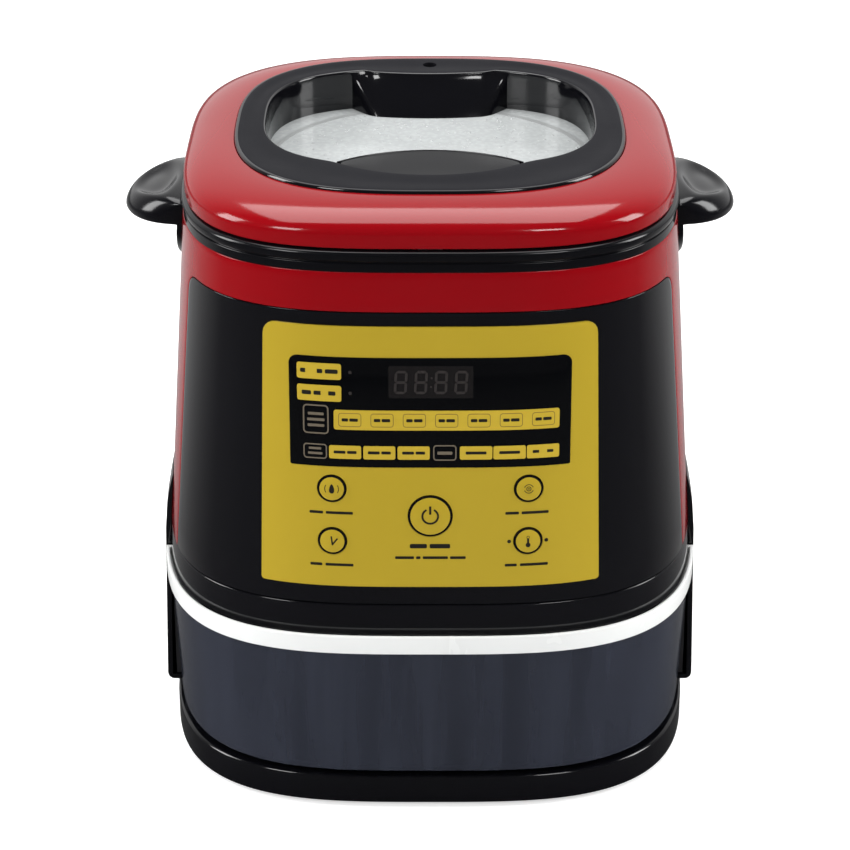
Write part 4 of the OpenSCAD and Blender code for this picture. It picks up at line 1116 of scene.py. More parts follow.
def segment_tiles(x, z, width, height, lift, slant=0.06):
    """Seven bars of one display digit, with its lower left corner at (x, z)."""
    thick = width * 0.2
    gap = thick * 0.12
    mid = height / 2

    def bar(x0, z0, x1, z1):
        along = np.array([x1 - x0, z1 - z0], float)
        along /= np.linalg.norm(along)
        side = np.array([-along[1], along[0]]) * thick / 2
        start, end = np.array([x0, z0]) + along * gap, np.array([x1, z1]) - along * gap
        tip = along * thick / 2
        loop = [start, start + tip - side, end - tip - side, end, end - tip + side, start + tip + side]
        loop = [(x + p[0] + slant * p[1], z + p[1]) for p in loop]
        points = [(px, pz, lift) for px, pz in loop] + [(px, pz, lift - 0.05) for px, pz in loop]
        cells = [tuple(range(6)), tuple(range(11, 5, -1))] + [
            (i, 6 + i, 6 + (i + 1) % 6, (i + 1) % 6) for i in range(6)]
        return points, cells

    t = thick / 2
    left, right, low, high = t, width - t, t, height - t
    return [
        bar(left, low, right, low), bar(left, mid, right, mid), bar(left, high, right, high),
        bar(left, low, left, mid), bar(left, mid, left, high), bar(right, low, right, mid),
        bar(right, mid, right, high)]


def words(low_x, high_x, z, lift, height, pieces):
    """A line of short bars that stands for a printed caption."""
    total = sum(pieces)
    tiles, x = [], low_x
    for i, share in enumerate(pieces):
        width = (high_x - low_x) * share / total
        if i % 2 == 0:
            tiles.append(tile(x, x + width, z - height / 2, z + height / 2, height * 0.3, lift, 0.04, step=4))
        x += width
    return tiles


def make_display_marks():
    sizes = bpy.context.scene.cooker_controls
    lift = sizes.lens_lift / MM + 0.05
    fit = (highest("display_window")[0] - lowest("display_window")[0]) / 135
    gold, ink = materials["gold print"], materials["dark print"]
    dim, field = materials["dim segments"], materials["segment field"]
    width, height, pitch = sizes.digit_width / MM, sizes.digit_height / MM, sizes.digit_pitch / MM
    left = -1.5 * pitch - width / 2
    low = DISPLAY_TOP - 17.2
    add_tiles(
        "digit_field", [tile(left - 2.4, -left + 2.9, low - 2.0, low + height + 2.2, 0.8, lift - 0.02, 0.04)],
        field, fit)
    row_of(
        "display_digits", segment_tiles(left, low, width, height, lift + 0.03), 4, pitch, dim,
        fit)
    dots = [
        tile(-0.1 + dx, 0.75 + dx, low + dz, low + dz + 0.9, 0.3, lift + 0.03, 0.05) for dx,
        dz in ((0.0, 3.0), (0.25, 7.2))]
    add_tiles("display_colon", dots, dim, fit)
    # Labels at the left of the digits, each with a small lamp
    top = DISPLAY_TOP
    plates = [
        tile(-63.6, -42.4, top - 10.9, top - 3.2, 1.1, lift, 0.05),
        tile(-63.6, -42.4, top - 21.4, top - 13.7, 1.1, lift, 0.05)]
    # Wide band of choices and the lower row of labels
    band_low, band_high = top - 34.8, top - 25.2
    plates.append(tile(-46.2, 61.9, band_low, band_high, 1.2, lift, 0.05, step=2.0))
    low_row, high_row = top - 49.0, top - 42.5
    add_tiles("label_plates", plates, gold, fit)
    row_of(
        "grain_labels", [tile(-48.6, -33.2, low_row, high_row, 0.9, lift, 0.05)], 3, 16.45, gold,
        fit)
    row_of(
        "taste_labels", [tile(14.2, 29.8, low_row, high_row, 0.9, lift, 0.05)], 3, 16.1, gold,
        fit)
    frames = [
        tile(-61.0, -48.6, top - 37.3, top - 23.2, 2.0, lift, 0.05, line=0.7),
        tile(-61.0, -49.6, low_row - 0.4, high_row + 0.4, 1.6, lift, 0.05, line=0.6),
        tile(1.4, 12.6, low_row - 0.5, high_row + 0.6, 1.6, lift, 0.05, line=0.6)]
    for left_end, right_end, drop in ((-58.6, -51, 27.6), (-59, -50.6, 30.4), (-58.8, -50.8, 33.2)):
        frames += words(left_end, right_end, top - drop, lift, 1.3, [1])
    for left_end, right_end, rise, thick in (
            (-58.4, -52.4, 4.6, 1.1), (-58.8, -51.8, 2.2, 1.1), (3.4, 10.6, 3.2, 1.5)):
        frames += words(left_end, right_end, low_row + rise, lift, thick, [1])
    add_tiles("outlined_labels", frames, materials["pale outline"], fit)
    row_of(
        "choice_outlines",
        [tile(-44.0, -33.0, band_low + 1.5, band_high - 1.5, 1.4, lift + 0.04, 0.03, line=0.28)], 7, 15.45,
        materials["thin line"], fit)
    above = lift + 0.05
    row_of(
        "choice_captions", words(-42.4, -34.6, (band_low + band_high) / 2, above, 1.5, [3, 0.6, 4]), 7, 15.45,
        ink, fit)
    row_of(
        "grain_captions", words(-46.4, -35.4, (low_row + high_row) / 2, above, 1.4, [5, 0.7, 4]), 3, 16.45,
        ink, fit)
    row_of(
        "taste_captions", words(17.0, 27.0, (low_row + high_row) / 2, above, 1.4, [1]), 3, 16.1, ink,
        fit)
    side = words(-62.0, -44.0, top - 7.0, above, 2.0, [7, 0.8, 4]) + words(
        -61.4, -45.2, top - 17.5, above, 2.0, [3, 0.8, 7])
    add_tiles("side_captions", side, ink, fit)
    lamps = [
        tile(-39.0, -37.4, top - z - 0.8, top - z + 0.8, 0.79, lift, 0.05, step=0.4) for z in (7.1, 17.1)]
    add_tiles("side_lamps", lamps, dim, fit)


def make_panel_captions():
    lift = bpy.context.scene.cooker_controls.overlay_lift / MM + 0.05
    marks = []
    for x, z in list(KEYS.values())[:4]:
        marks += words(x - 10.5, x + 9.5, z - 11.9, lift, 1.35, [4, 0.8, 8] if z > 160 else [3, 0.8, 7])
    marks += words(-9.4, 9.2, 143.0, lift, 2.2, [5, 0.8, 6]) + words(
        -16.2, 16.4, 137.2, lift, 1.35, [6, 0.7, 1.4, 0.7, 8, 0.7, 5])
    keep = KEYS["key_lower_right"]
    for dx in (-8.6, 8.6):
        marks.append(
            tile(
                keep[0] + dx - 0.9, keep[0] + dx + 0.9, keep[1] - 0.9, keep[1] + 0.9, 0.89, lift, 0.04,
                step=0.3))
    add_tiles("overlay_captions", marks, materials["dark print"])


def flat_piece(name, outline, low, high):
    """Flat plate between two heights from a closed outline."""
    ring = np.array([(x, y, 0.0) for x, y in outline])
    lower, upper = ring + (0, 0, low), ring + (0, 0, high)
    return swept(name, [lower, upper], closed=False, capped=True)


def arc_bar(radius, width, start, end, count=40):
    angles = np.radians(np.linspace(start, end, count))
    outer = [((radius + width / 2) * math.cos(a), (radius + width / 2) * math.sin(a)) for a in angles]
    inner = [((radius - width / 2) * math.cos(a), (radius - width / 2) * math.sin(a)) for a in angles[::-1]]
    return outer + inner


def stroke(x0, y0, x1, y1, width):
    along = np.array([x1 - x0, y1 - y0], float)
    along /= np.linalg.norm(along)
    side = np.array([-along[1], along[0]]) * width / 2
    a, b = np.array([x0, y0]), np.array([x1, y1])
    return [tuple(a - side), tuple(b - side), tuple(b + side), tuple(a + side)]


def oval(x, y, rx, ry, count=32):
    return [(x + rx * math.cos(a), y + ry * math.sin(a)) for a in turn(count)]


def key_icons():
    leaf = [(1.15 * math.cos(a) * (1 - 0.35 * math.sin(a)), 2.3 * math.sin(a)) for a in turn(32)]
    bowl = [arc_bar(1.0, 0.35, 0, 359, 40), arc_bar(2.1, 0.35, 20, 160), arc_bar(2.1, 0.35, 200, 340)]
    return {
        "key_upper_left": [leaf, arc_bar(3.2, 0.35, 145, 215), arc_bar(3.2, 0.35, -35, 35)],
        "key_lower_left": [stroke(-0.5, 2.4, 0.1, -2.0, 0.75), stroke(-0.1, -1.9, 2.4, 1.4, 0.75)],
        "key_upper_right": bowl + [oval(0, 0, 0.45, 0.3)],
        "key_lower_right": [
            oval(0, -1.9, 1.15, 1.15), stroke(0, -1.4, 0, 1.2, 0.95), arc_bar(0.62, 0.28, 0, 359, 24)],
        "key_start": [arc_bar(3.6, 0.95, 118, 422, 64), stroke(0, 0.9, 0, 5.0, 1.0)],}


def make_keys():
    ring_width = bpy.context.scene.cooker_controls.key_ring / MM
    top = 1.4
    icons = key_icons()
    for name, (x, z) in KEYS.items():
        radius = (10 if name == "key_start" else 6.5) + 0.15 - ring_width
        cap = turned(
            name + "_face", [(radius, top - 0.05), (radius, top + 0.1), (radius - 0.15, top + 0.16)], 72)
        finish_piece(on_panel(cap, x, z), name, materials["gold film"], sharp=30, weld=0.001)
        marks = [flat_piece("mark", outline, top + 0.14, top + 0.2) for outline in icons[name]]
        if name == "key_lower_right":
            marks[2].data.transform(Matrix.Translation((0, 1.9 * MM, 0)))
        icon = join(name + "_icon", *marks) if len(marks) > 1 else marks[0]
        finish_piece(
            on_panel(icon, x, z), name, materials["dark print"], sharp=30, weld=0.0005)


# ---------------------------------------------------------------- lid

RECESS_X, RECESS_Y, RECESS_BACK = 79.0, 71.5, 8.5
SCOOP_X, SCOOP_Y, SCOOP_FRONT = 42.0, 16.0, 60.0
ARC_R = (SCOOP_X ** 2 + SCOOP_Y ** 2) / (2 * SCOOP_Y)


def crown(angle, inset):
    """Half widths, squareness and height of the lid where its top curve has turned by an angle."""
    share = angle / 90
    bend = math.radians(angle)
    ridge = LID_LOW + 6.5
    top = LID_TOP - ridge
    n = SQUARE + (2.8 - SQUARE) * share
    a = BEZEL_X + (LID_X - BEZEL_X) * math.cos(bend) - inset
    b = BEZEL_Y + (LID_Y - BEZEL_Y) * math.cos(bend) - inset
    return a, b, n, ridge - inset * 0.6 + top * math.sin(bend) - inset * 0.4 * math.sin(bend)


def make_lid_shell():
    skin = 2.4
    stations = [
        (LID_X - 2.2, LID_Y - 2.2, SQUARE, LID_LOW + 0.1), (LID_X - 0.9, LID_Y - 0.9, SQUARE, LID_LOW),
        (LID_X - 0.25, LID_Y - 0.25, SQUARE, LID_LOW + 0.4), (LID_X, LID_Y, SQUARE, LID_LOW + 1.3),
        (LID_X, LID_Y, SQUARE, LID_LOW + 4)]
    stations += [crown(a, 0) for a in np.linspace(0, 86, 22)]
    edge = crown(90, 0)
    stations += [
        (edge[0] + 0.45, edge[1] + 0.45, edge[2], edge[3]),
        (edge[0] + 0.15, edge[1] + 0.15, edge[2], edge[3] - 0.3),
        (edge[0] + 0.15, edge[1] + 0.15, edge[2], edge[3] - skin)]
    stations += [crown(a, skin) for a in np.linspace(80, 0, 12)]
    stations += [(LID_X - skin, LID_Y - skin, SQUARE, LID_LOW + 0.5)]
    shell = swept("lid_shell_cover", [squircle(a, b, n, z) for a, b, n, z in stations])
    half = 16.5
    cut(shell, box_tool((-half, 20, LID_LOW - 2), (half, LID_Y + 10, LID_LOW + 4.3)))
    return finish_piece(shell, "lid", materials["red gloss"], ["lid_shell"], sharp=30)


def far_from_recess(a, b, n, angle):
    """Distance from the recess's middle out to a rounded square centred on the lid."""
    low, high = np.zeros(len(angle)), np.full(len(angle), 2.0 * max(a, b))
    for _ in range(40):
        mid = (low + high) / 2
        x, y = mid * np.cos(angle), RECESS_BACK + mid * np.sin(angle)
        inside = (np.abs(x) / a) ** n + (np.abs(y) / b) ** n < 1
        low, high = np.where(inside, mid, low), np.where(inside, high, mid)
    return low


def far_to_circle(middle_y, radius, angle):
    """Distance from the recess's middle out to the far side of a circle on the middle line."""
    away = RECESS_BACK - middle_y
    b = away * np.sin(angle)
    inside = b * b - away * away + radius * radius
    return np.where(inside > 0, -b + np.sqrt(np.maximum(inside, 0)), 0)


def recess_edge(angle, bulge, grow=0.0, scoop=True):
    """Distance from the recess's middle out to its edge, with the steam bulge at the rear."""
    plain = reach(RECESS_X + grow, RECESS_Y + grow, 2.9, angle)
    if scoop:
        front = far_to_circle(-SCOOP_FRONT + (ARC_R - SCOOP_Y), ARC_R + 0.4 + grow, angle)
        soft = 0.9
        plain = plain + soft * np.log1p(np.exp(np.clip((front - plain) / soft, -40, 40)))
    low, high = np.full(len(angle), 5.0), plain.copy()
    for _ in range(36):
        mid = (low + high) / 2
        x = np.abs(mid * np.cos(angle))
        share = np.clip((x - 24) / 20, 0, 1)
        line = bulge + 0.0036 * x * x + (
            RECESS_BACK + RECESS_Y + 4 - bulge) * share ** 2.4 + np.where(x > 44, 50, 0)
        inside = RECESS_BACK + mid * np.sin(angle) < line
        low, high = np.where(inside, mid, low), np.where(inside, high, mid)
    rear = np.sin(angle) > 0.2
    return np.where(rear, np.minimum(plain, low), plain)


def about_recess(far, angle, z):
    return np.stack([far * np.cos(angle), RECESS_BACK + far * np.sin(angle), np.full(len(angle), 1.0) * z], 1)


def make_bezel():
    lid = bpy.context.scene.cooker_lid
    angle = turn(384)
    line = lid.rim_line / MM
    top, foot = lid.bulge_top / MM, lid.bulge_foot / MM
    outer = lambda inset: far_from_recess(BEZEL_X - inset, BEZEL_Y - inset, 2.8, angle)
    edge = recess_edge(angle, top)
    low_edge = recess_edge(angle, foot)
    front = np.clip((-np.sin(angle) - 0.55) / 0.2, 0, 1) * (np.abs(edge * np.cos(angle)) < SCOOP_X + 1)
    rings = [
        about_recess(outer(d), angle, BEZEL_TOP + z) for d,
        z in (
            (2.6, -4.0), (0.05, -4.0), (0.0, -1.5), (0.1, -0.75), (0.45, -0.3), (line, -0.12),
            (line + 0.25, -0.22), (line + 0.6, -0.1))]
    gloss_to = 6
    start, end = outer(line + 1.2), edge + 1.6
    for f in np.linspace(0, 1, 9):
        rings.append(
            about_recess(
                start + (end - start) * f, angle, BEZEL_TOP - 0.05 - 0.45 * math.sin(math.pi * f) ** 2))
    matte_to = len(rings)
    rings += [
        about_recess(edge + d, angle, BEZEL_TOP + z) for d,
        z in ((0.9, -0.1), (0.4, -0.35), (0.1, -0.8), (0.0, -1.4))]
    for f in np.linspace(0.12, 1, 12):
        ease = f * 0.8 + 0.2 * f * f * (3 - 2 * f)
        deep = (BEZEL_TOP - 1.4 - GLASS_TOP - 0.05) * f
        deep = deep * (1 - front) + np.minimum(deep, 5.5 * f) * front
        rings.append(about_recess(edge + (low_edge - edge) * ease, angle, BEZEL_TOP - 1.4 - deep))
    last = rings[-1]
    rings.append(last + about_recess(np.full(len(angle), 2.2), angle, 0) - np.array([0, RECESS_BACK, 0]))
    rings.append(about_recess(edge + 2.6, angle, BEZEL_TOP - 4.0))
    bezel = swept("lid_bezel_cover", rings)
    mesh = bezel.data
    mesh.materials.append(materials["matte black"])
    mesh.materials.append(materials["black gloss"])
    count = len(angle)
    for i, face in enumerate(mesh.polygons):
        row = i // count
        face.material_index = 0 if gloss_to <= row < matte_to else 1
    cut(bezel, on_lid_plug())
    return finish_piece(
        bezel, "lid", materials["matte black"], ["lid_bezel", "vent_block"], sharp=34,
        weld=0.002)


def on_lid_plug():
    """Cutter for the steam hole behind the bulge."""
    vent_y = (highest("vent_duct")[1] + lowest("vent_duct")[1]) / 2
    plug = turned("tool", [(3.5, -10), (3.5, 10)], 40)
    plug.data.transform(Matrix.Translation(Vector((0, vent_y, BEZEL_TOP)) * MM))
    return plug


def make_recess_lip():
    """Curved wall between the scoop and the window."""
    middle = -SCOOP_FRONT - (ARC_R - SCOOP_Y)
    half = math.asin((SCOOP_X + 0.8) / (ARC_R + 1.5))
    sections = []
    for a in np.linspace(-half, half, 72):
        across = np.array([math.sin(a), math.cos(a)])
        profile = rounded(
            [
                (0.55, GLASS_TOP + 12.0, 0), (0.55, BEZEL_TOP - 0.15, 0.5), (2.0, BEZEL_TOP - 0.25, 0.7),
                (3.4, GLASS_TOP + 0.05, 0), (1.2, GLASS_TOP + 0.05, 0), (1.2, GLASS_TOP + 11.0, 0)],
            3)
        sections.append(
            np.array([(across[0] * (ARC_R + d), middle + across[1] * (ARC_R + d), z) for d, z in profile]))
    lip = strip("recess_lip", sections)
    return finish_piece(lip, "lid", materials["black gloss"], sharp=34)


def make_scoop():
    """Release button: a finger scoop that is deepest at its front arc."""
    lid = bpy.context.scene.cooker_lid
    depth = lid.scoop_depth / MM
    front_c, rear_c = -SCOOP_FRONT + (ARC_R - SCOOP_Y), -SCOOP_FRONT - (ARC_R - SCOOP_Y)
    upper, lower = [], []
    xs = np.sin(np.linspace(-1, 1, 65) * math.pi / 2) * (SCOOP_X - 0.8)
    shares = np.linspace(0, 1, 21)
    for x in xs:
        low = front_c - math.sqrt(ARC_R ** 2 - x * x) + 0.02
        high = rear_c + math.sqrt(ARC_R ** 2 - x * x) - 0.02
        wide = (high - low) / (2 * SCOOP_Y)
        for s in shares:
            rise = s ** 1.5
            z = BEZEL_TOP - 0.3 - (
                depth * min(1, wide * 1.6) + 0.6) * (1 - rise) - 0.6 * math.sin(math.pi * s) * wide
            upper.append((x, low + (high - low) * s, z))
            lower.append((x, low + (high - low) * s, min(BEZEL_TOP - 4, z - 0.9)))
    rows, cols = len(xs), len(shares)
    cells = grid_cells(rows, cols) + [tuple(reversed(c)) for c in grid_cells(rows, cols, start=rows * cols)]
    n = rows * cols
    for r in range(rows - 1):
        for c in (0, cols - 1):
            a, b = r * cols + c, (r + 1) * cols + c
            cells.append((a, b, n + b, n + a))
    for r in (0, rows - 1):
        for c in range(cols - 1):
            a, b = r * cols + c, r * cols + c + 1
            cells.append((a, n + a, n + b, b))
    scoop = add_object("release_scoop", upper + lower, cells)
    tidy = bmesh.new()
    tidy.from_mesh(scoop.data)
    bmesh.ops.recalc_face_normals(tidy, faces=tidy.faces)
    tidy.to_mesh(scoop.data)
    tidy.free()
    bevel(scoop, 0.25, 50, 2)
    foot_low, foot_y = lowest("release_button")[2], lowest("release_button")[1]
    slope = BEZEL_TOP - 6.3 - foot_low
    wedge = [(foot_y, foot_low), (foot_y + 1.4, foot_low), (foot_y + 1.4 + slope, BEZEL_TOP - 6.3)]
    wedge += [(foot_y + 12, BEZEL_TOP - 6.3), (foot_y + 12, BEZEL_TOP - 4.3), (foot_y, BEZEL_TOP - 4.3)]
    stem = strip("stem", [np.array([(x, y, z) for y, z in wedge]) for x in (-7, 7)])
    scoop = join("release_scoop", scoop, stem)
    return finish_piece(
        scoop, "button", materials["scoop black with painted shade"], ["release_button"], sharp=34, weld=0.001)


def drop_tree():
    """Geometry Nodes tree that scatters flattened drops over a sheet."""
    tree = bpy.data.node_groups.new("Condensation Drops", "GeometryNodeTree")
    for label, kind, default in (
            ("Sheet", "NodeSocketGeometry", None), ("Density", "NodeSocketFloat", 50000.0),
            ("Drop Size", "NodeSocketFloat", 0.0008), ("Seed", "NodeSocketInt", 0),
            ("Finish", "NodeSocketMaterial", None)):
        socket = tree.interface.new_socket(name=label, in_out="INPUT", socket_type=kind)
        if default is not None:
            socket.default_value = default
    tree.interface.new_socket(name="Drops", in_out="OUTPUT", socket_type="NodeSocketGeometry")
    take, give = tree.nodes.new("NodeGroupInput"), tree.nodes.new("NodeGroupOutput")
    scatter = node(tree, "GeometryNodeDistributePointsOnFaces", distribute_method="POISSON")
    drop = node(tree, "GeometryNodeMeshIcoSphere", {"Subdivisions": 2, "Radius": 1.0})
    spread = node(tree, "FunctionNodeRandomValue", data_type="FLOAT")
    spread.inputs[2].default_value, spread.inputs[3].default_value = 0.18, 1.0
    size = node(tree, "ShaderNodeMath", operation="MULTIPLY")
    flat = node(tree, "ShaderNodeCombineXYZ")
    thin = node(tree, "ShaderNodeMath", operation="MULTIPLY")
    thin.inputs[1].default_value = 0.45
    place = node(tree, "GeometryNodeInstanceOnPoints")
    real = node(tree, "GeometryNodeRealizeInstances")
    paint = node(tree, "GeometryNodeSetMaterial")
    links = tree.links
    links.new(take.outputs["Sheet"], scatter.inputs["Mesh"])
    links.new(take.outputs["Density"], scatter.inputs["Density Max"])
    links.new(take.outputs["Drop Size"], scatter.inputs["Distance Min"])
    links.new(take.outputs["Seed"], scatter.inputs["Seed"])
    links.new(take.outputs["Seed"], spread.inputs["Seed"])
    links.new(spread.outputs[1], size.inputs[0])
    links.new(take.outputs["Drop Size"], size.inputs[1])
    links.new(size.outputs[0], thin.inputs[0])
    links.new(size.outputs[0], flat.inputs["X"])
    links.new(size.outputs[0], flat.inputs["Y"])
    links.new(thin.outputs[0], flat.inputs["Z"])
    links.new(scatter.outputs["Points"], place.inputs["Points"])
    links.new(drop.outputs["Mesh"], place.inputs["Instance"])
    links.new(flat.outputs["Vector"], place.inputs["Scale"])
    links.new(place.outputs["Instances"], real.inputs["Geometry"])
    links.new(real.outputs["Geometry"], paint.inputs["Geometry"])
    links.new(take.outputs["Finish"], paint.inputs["Material"])
    links.new(paint.outputs["Geometry"], give.inputs["Drops"])
    return tree


def window_outline(shrink, count=200):
    """Outline of the window that shows inside the recess."""
    angle = turn(count)
    limit = highest("lid_window")[0] - shrink
    recess = reach(RECESS_X + 1.5 - shrink, RECESS_Y + 1.5 - shrink, 2.9, angle)
    disc = far_to_circle(0.0, limit, angle)
    far = np.minimum(recess, disc)
    return [(r * math.cos(t), RECESS_BACK + r * math.sin(t)) for r, t in zip(far, angle)]


def make_window():
    lid = bpy.context.scene.cooker_lid
    band = 5.0
    outer, inner = window_outline(1.8), window_outline(band)
    rings = [
        np.array([(x, y, GLASS_TOP + z) for x, y in loop]) for loop,
        z in ((outer, -0.3), (outer, 0.12), (inner, 0.12), (inner, -0.3))]
    finish_piece(swept("window_band", rings), "lid", materials["window edge"], sharp=30)
    drops = flat_piece("window_drops", window_outline(band + 1.5), GLASS_TOP + 0.02, GLASS_TOP + 0.03)
    tidy = bmesh.new()
    tidy.from_mesh(drops.data)
    below = [f for f in tidy.faces if f.normal.z < 0.5]
    bmesh.ops.delete(tidy, geom=below, context="FACES")
    bmesh.ops.triangulate(tidy, faces=tidy.faces)
    tidy.to_mesh(drops.data)
    tidy.free()
    step = drops.modifiers.new("Drops", "NODES")
    step.node_group = drop_tree()
    set_input(step, "Density", lid.drop_density)
    set_input(step, "Drop Size", lid.drop_size)
    set_input(step, "Seed", lid.drop_seed)
    set_input(step, "Finish", materials["water drop"])
    bake(drops)
    return finish_piece(drops, "lid", materials["water drop"], sharp=60, weld=0.0005)


# ---------------------------------------------------------------- water drawer


def drawer_ring(a, b, z, back, arc=190, line=24):
    """Closed outline: round the front, then straight across the back."""
    right = angle_at_front(a, b, SQUARE, back)
    front = squircle(a, b, SQUARE, z, np.linspace(math.pi - right, 2 * math.pi + right, arc))
    xs = np.linspace(front[-1, 0], front[0, 0], line + 2)[1:-1]
    rear = np.stack([xs, np.full(line, -float(back)), np.full(line, float(z))], 1)
    return np.concatenate([front, rear])


def make_drawer():
    drawer = bpy.context.scene.cooker_drawer
    a, b, wall = LOW_X + 2.2, TANK_Y, 2.5
    r = drawer.floor_round / MM
    low, high = TANK_LOW, RIM_LOW
    rings = []
    for t in np.linspace(0, math.pi / 2, 7):
        rings.append(
            drawer_ring(
                a - 5 - r * (1 - math.sin(t)), b - 5 - r * (1 - math.sin(t)), low + r * (1 - math.cos(t)),
                TANK_BACK + r * 0.5 * (1 - math.sin(t))))
    for s in np.linspace(0.12, 1, 8):
        rings.append(drawer_ring(a - 5 + 3 * s, b - 5 + 3 * s, low + r + (high - low - r) * s, TANK_BACK))
    for s in np.linspace(1, 0.1, 8):
        rings.append(
            drawer_ring(
                a - 5 + 3 * s - wall, b - 5 + 3 * s - wall, low + r + (high - low - r) * s, TANK_BACK + wall))
    for t in np.linspace(math.pi / 2, 0, 6):
        cut_in = 2.4 * (1 - math.sin(t))
        rings.append(
            drawer_ring(
                a - 5 - wall - cut_in, b - 5 - wall - cut_in, low + wall + 2.4 * (1 - math.cos(t)),
                TANK_BACK + wall + cut_in))
    bowl = swept("drawer_bowl", rings, closed=False, capped=True)
    runner = (LOW_X - 0.8) * 0.47
    for side in (-1, 1):
        bar = box_tool(
            (side * runner - 3, -TANK_Y + 24, BASE_TOP + 0.4), (side * runner + 3, -TANK_BACK - 4, low + 0.3),
            0.4)
        bowl = join("drawer_bowl", bowl, bar)
    finish_piece(bowl, "drawer", materials["smoky clear"], ["tank_bowl"], sharp=40)
    w, lip = drawer.rim_wall / MM, min(drawer.lip_wall / MM, b - LOW_Y - 0.4, a - LOW_X - 0.4)
    shelf = BODY_LOW - 2.6
    outline = rounded(
        [
            (0.0, high, 0.9), (0.0, TANK_HIGH, 0.8), (-lip, TANK_HIGH, 0.6), (-lip, shelf, 0.2),
            (-w, shelf, 0.8), (-w, high, 0.5)],
        4)
    rings = [
        drawer_ring(a + d, b + d, z, TANK_BACK - min(d, 0) if d < -1 else TANK_BACK - d * 0.3) for d,
        z in outline]
    return finish_piece(
        swept("drawer_rim", rings), "drawer", materials["white rim"], ["tank_rim"], sharp=40)


# ---------------------------------------------------------------- stage


def soft_box(name, place, aim, width, height, power, colour=(1, 1, 1)):
    light = bpy.data.lights.new(name, "AREA")
    light.shape = "RECTANGLE"
    light.size, light.size_y = width, height
    light.energy = power
    light.color = colour
    lamp = bpy.data.objects.new(name, light)
    bpy.context.scene.collection.objects.link(lamp)
    lamp.location = place
    lamp.rotation_euler = (Vector(aim) - Vector(place)).to_track_quat("-Z", "Y").to_euler()
    return lamp


def make_room(stage):
    """Even room light, with a white wall behind that shows in reflections."""
    world = bpy.data.worlds.new("studio")
    world.use_nodes = True
    tree = world.node_tree
    back, links = tree.nodes["Background"], tree.links
    place = tree.nodes.new("ShaderNodeTexCoord")
    split = node(tree, "ShaderNodeSeparateXYZ")
    wall = node(
        tree, "ShaderNodeMapRange",
        {"From Min": 0.1, "From Max": 0.75, "To Min": 0.06, "To Max": stage.wall_shine})
    rays = tree.nodes.new("ShaderNodeLightPath")
    strength = node(tree, "ShaderNodeMix", {2: stage.world_strength}, data_type="FLOAT")
    links.new(place.outputs["Generated"], split.inputs["Vector"])
    links.new(split.outputs["Y"], wall.inputs["Value"])
    links.new(rays.outputs["Is Glossy Ray"], strength.inputs[0])
    links.new(wall.outputs["Result"], strength.inputs[3])
    links.new(strength.outputs[0], back.inputs["Strength"])
    back.inputs["Color"].default_value = (1, 1, 1, 1)
    return world


def make_stage():
    scene = bpy.context.scene
    stage = scene.cooker_stage
    floor = add_object(
        "studio_floor", [(-9000, -9000, 0), (9000, -9000, 0), (9000, 9000, 0), (-9000, 9000, 0)],
        [(0, 1, 2, 3)])
    floor.data.materials.append(materials["studio floor"])
    soft_box("top box", (0.0, 0.25, 1.7), (0.0, 0.0, 0.2), 1.6, 1.3, stage.top_power)
    soft_box("left box", (-1.35, -0.15, 0.75), (0.0, 0.0, 0.2), 0.5, 0.8, stage.side_power)
    soft_box("right box", (1.35, -0.15, 0.75), (0.0, 0.0, 0.2), 0.5, 0.8, stage.side_power)
    soft_box("front right box", (0.85, -1.8, 1.4), (0.0, 0.0, 0.25), 0.5, 0.4, stage.front_power)
    soft_box("front left box", (-1.25, -1.6, 1.25), (0.0, 0.0, 0.2), 0.55, 0.55, stage.front_power * 1.3)
    scene.world = make_room(stage)
    view = bpy.data.cameras.new("camera")
    view.sensor_width = 36
    view.lens = stage.lens_length
    camera = bpy.data.objects.new("camera", view)
    scene.collection.objects.link(camera)
    camera.location = stage.camera_place
    camera.rotation_euler = (math.pi / 2 - stage.camera_tilt, 0, 0)
    scene.camera = camera
    scene.view_settings.view_transform = "Standard"
    return floor


# ---------------------------------------------------------------- operators


class CookerOperator:
    bl_options = {"REGISTER", "UNDO"}

    def execute(self, context):
        self.build(context)
        return {"FINISHED"}


class COOKER_OT_finishes(CookerOperator, Operator):
    """Make the shader groups and materials, and dress the frame's own parts"""

    bl_idname = "cooker.finishes"
    bl_label = "Finishes"

    def build(self, context):
        make_groups()
        make_materials(context.scene)
        dress_frame()


class COOKER_OT_base(CookerOperator, Operator):
    """Build the base tray and the rear housing with its side cheeks"""

    bl_idname = "cooker.base"
    bl_label = "Base and housing"

    def build(self, context):
        make_base()
        make_housing()


class COOKER_OT_body(CookerOperator, Operator):
    """Build the red body shell, the black front panel, the lower trim and the rim collar"""

    bl_idname = "cooker.body"
    bl_label = "Body covers"

    def build(self, context):
        make_lower_trim()
        make_body_shell()
        make_front_panel()
        make_collar()


class COOKER_OT_handles(CookerOperator, Operator):
    """Build the two side handles with their thumb dishes"""

    bl_idname = "cooker.handles"
    bl_label = "Side handles"

    def build(self, context):
        make_handle(-1)
        make_handle(1)


class COOKER_OT_controls(CookerOperator, Operator):
    """Build the gold overlay, the display and its marks, and the key faces"""

    bl_idname = "cooker.controls"
    bl_label = "Control panel"

    def build(self, context):
        make_overlay()
        make_display()
        make_display_marks()
        make_panel_captions()
        make_keys()


class COOKER_OT_lid(CookerOperator, Operator):
    """Build the red lid shell, the matte bezel with its recess, and the release button"""

    bl_idname = "cooker.lid"
    bl_label = "Lid"

    def build(self, context):
        make_lid_shell()
        make_bezel()
        make_recess_lip()
        make_scoop()


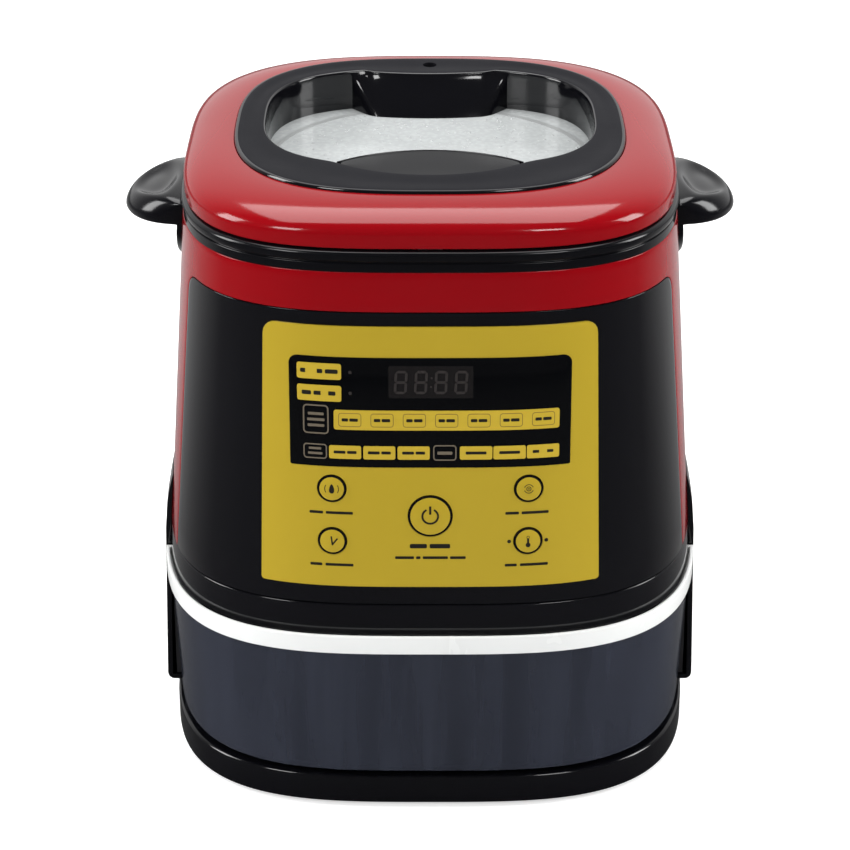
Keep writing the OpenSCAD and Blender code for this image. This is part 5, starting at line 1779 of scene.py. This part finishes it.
class COOKER_OT_window(CookerOperator, Operator):
    """Build the condensation, its drops and the frosted band under the window"""

    bl_idname = "cooker.window"
    bl_label = "Window"

    def build(self, context):
        make_window()


class COOKER_OT_drawer(CookerOperator, Operator):
    """Build the see-through water drawer and its white rim"""

    bl_idname = "cooker.drawer"
    bl_label = "Water drawer"

    def build(self, context):
        make_drawer()


class COOKER_OT_stage(CookerOperator, Operator):
    """Set out the floor, the studio lights and the camera"""

    bl_idname = "cooker.stage"
    bl_label = "Stage"

    def build(self, context):
        make_stage()


PIECES = (
    COOKER_OT_finishes, COOKER_OT_base, COOKER_OT_body, COOKER_OT_handles, COOKER_OT_controls, COOKER_OT_lid,
    COOKER_OT_window, COOKER_OT_drawer, COOKER_OT_stage)
SETTINGS = {
    "cooker_covers": COOKER_PG_covers,
    "cooker_controls": COOKER_PG_controls,
    "cooker_lid": COOKER_PG_lid,
    "cooker_drawer": COOKER_PG_drawer,
    "cooker_handles": COOKER_PG_handles,
    "cooker_stage": COOKER_PG_stage,
}


class COOKER_PT_builder(Panel):
    """Lists the cooker's sizes, colours and building steps"""

    bl_idname = "COOKER_PT_builder"
    bl_label = "Rice Cooker"
    bl_space_type = "VIEW_3D"
    bl_region_type = "UI"
    bl_category = "Cooker"

    def draw(self, context):
        for name, kind in SETTINGS.items():
            box = self.layout.box()
            for key in kind.__annotations__:
                box.prop(getattr(context.scene, name), key)
        for piece in PIECES:
            self.layout.operator(piece.bl_idname)


CLASSES = tuple(SETTINGS.values()) + PIECES + (COOKER_PT_builder,)


def register():
    for kind in CLASSES:
        bpy.utils.register_class(kind)
    for name, kind in SETTINGS.items():
        setattr(bpy.types.Scene, name, PointerProperty(type=kind))


def unregister():
    for name in SETTINGS:
        delattr(bpy.types.Scene, name)
    for kind in reversed(CLASSES):
        bpy.utils.unregister_class(kind)


def main():
    register()
    for piece in PIECES:
        group, action = piece.bl_idname.split(".")
        getattr(getattr(bpy.ops, group), action)()


if __name__ == "__main__":
    main()
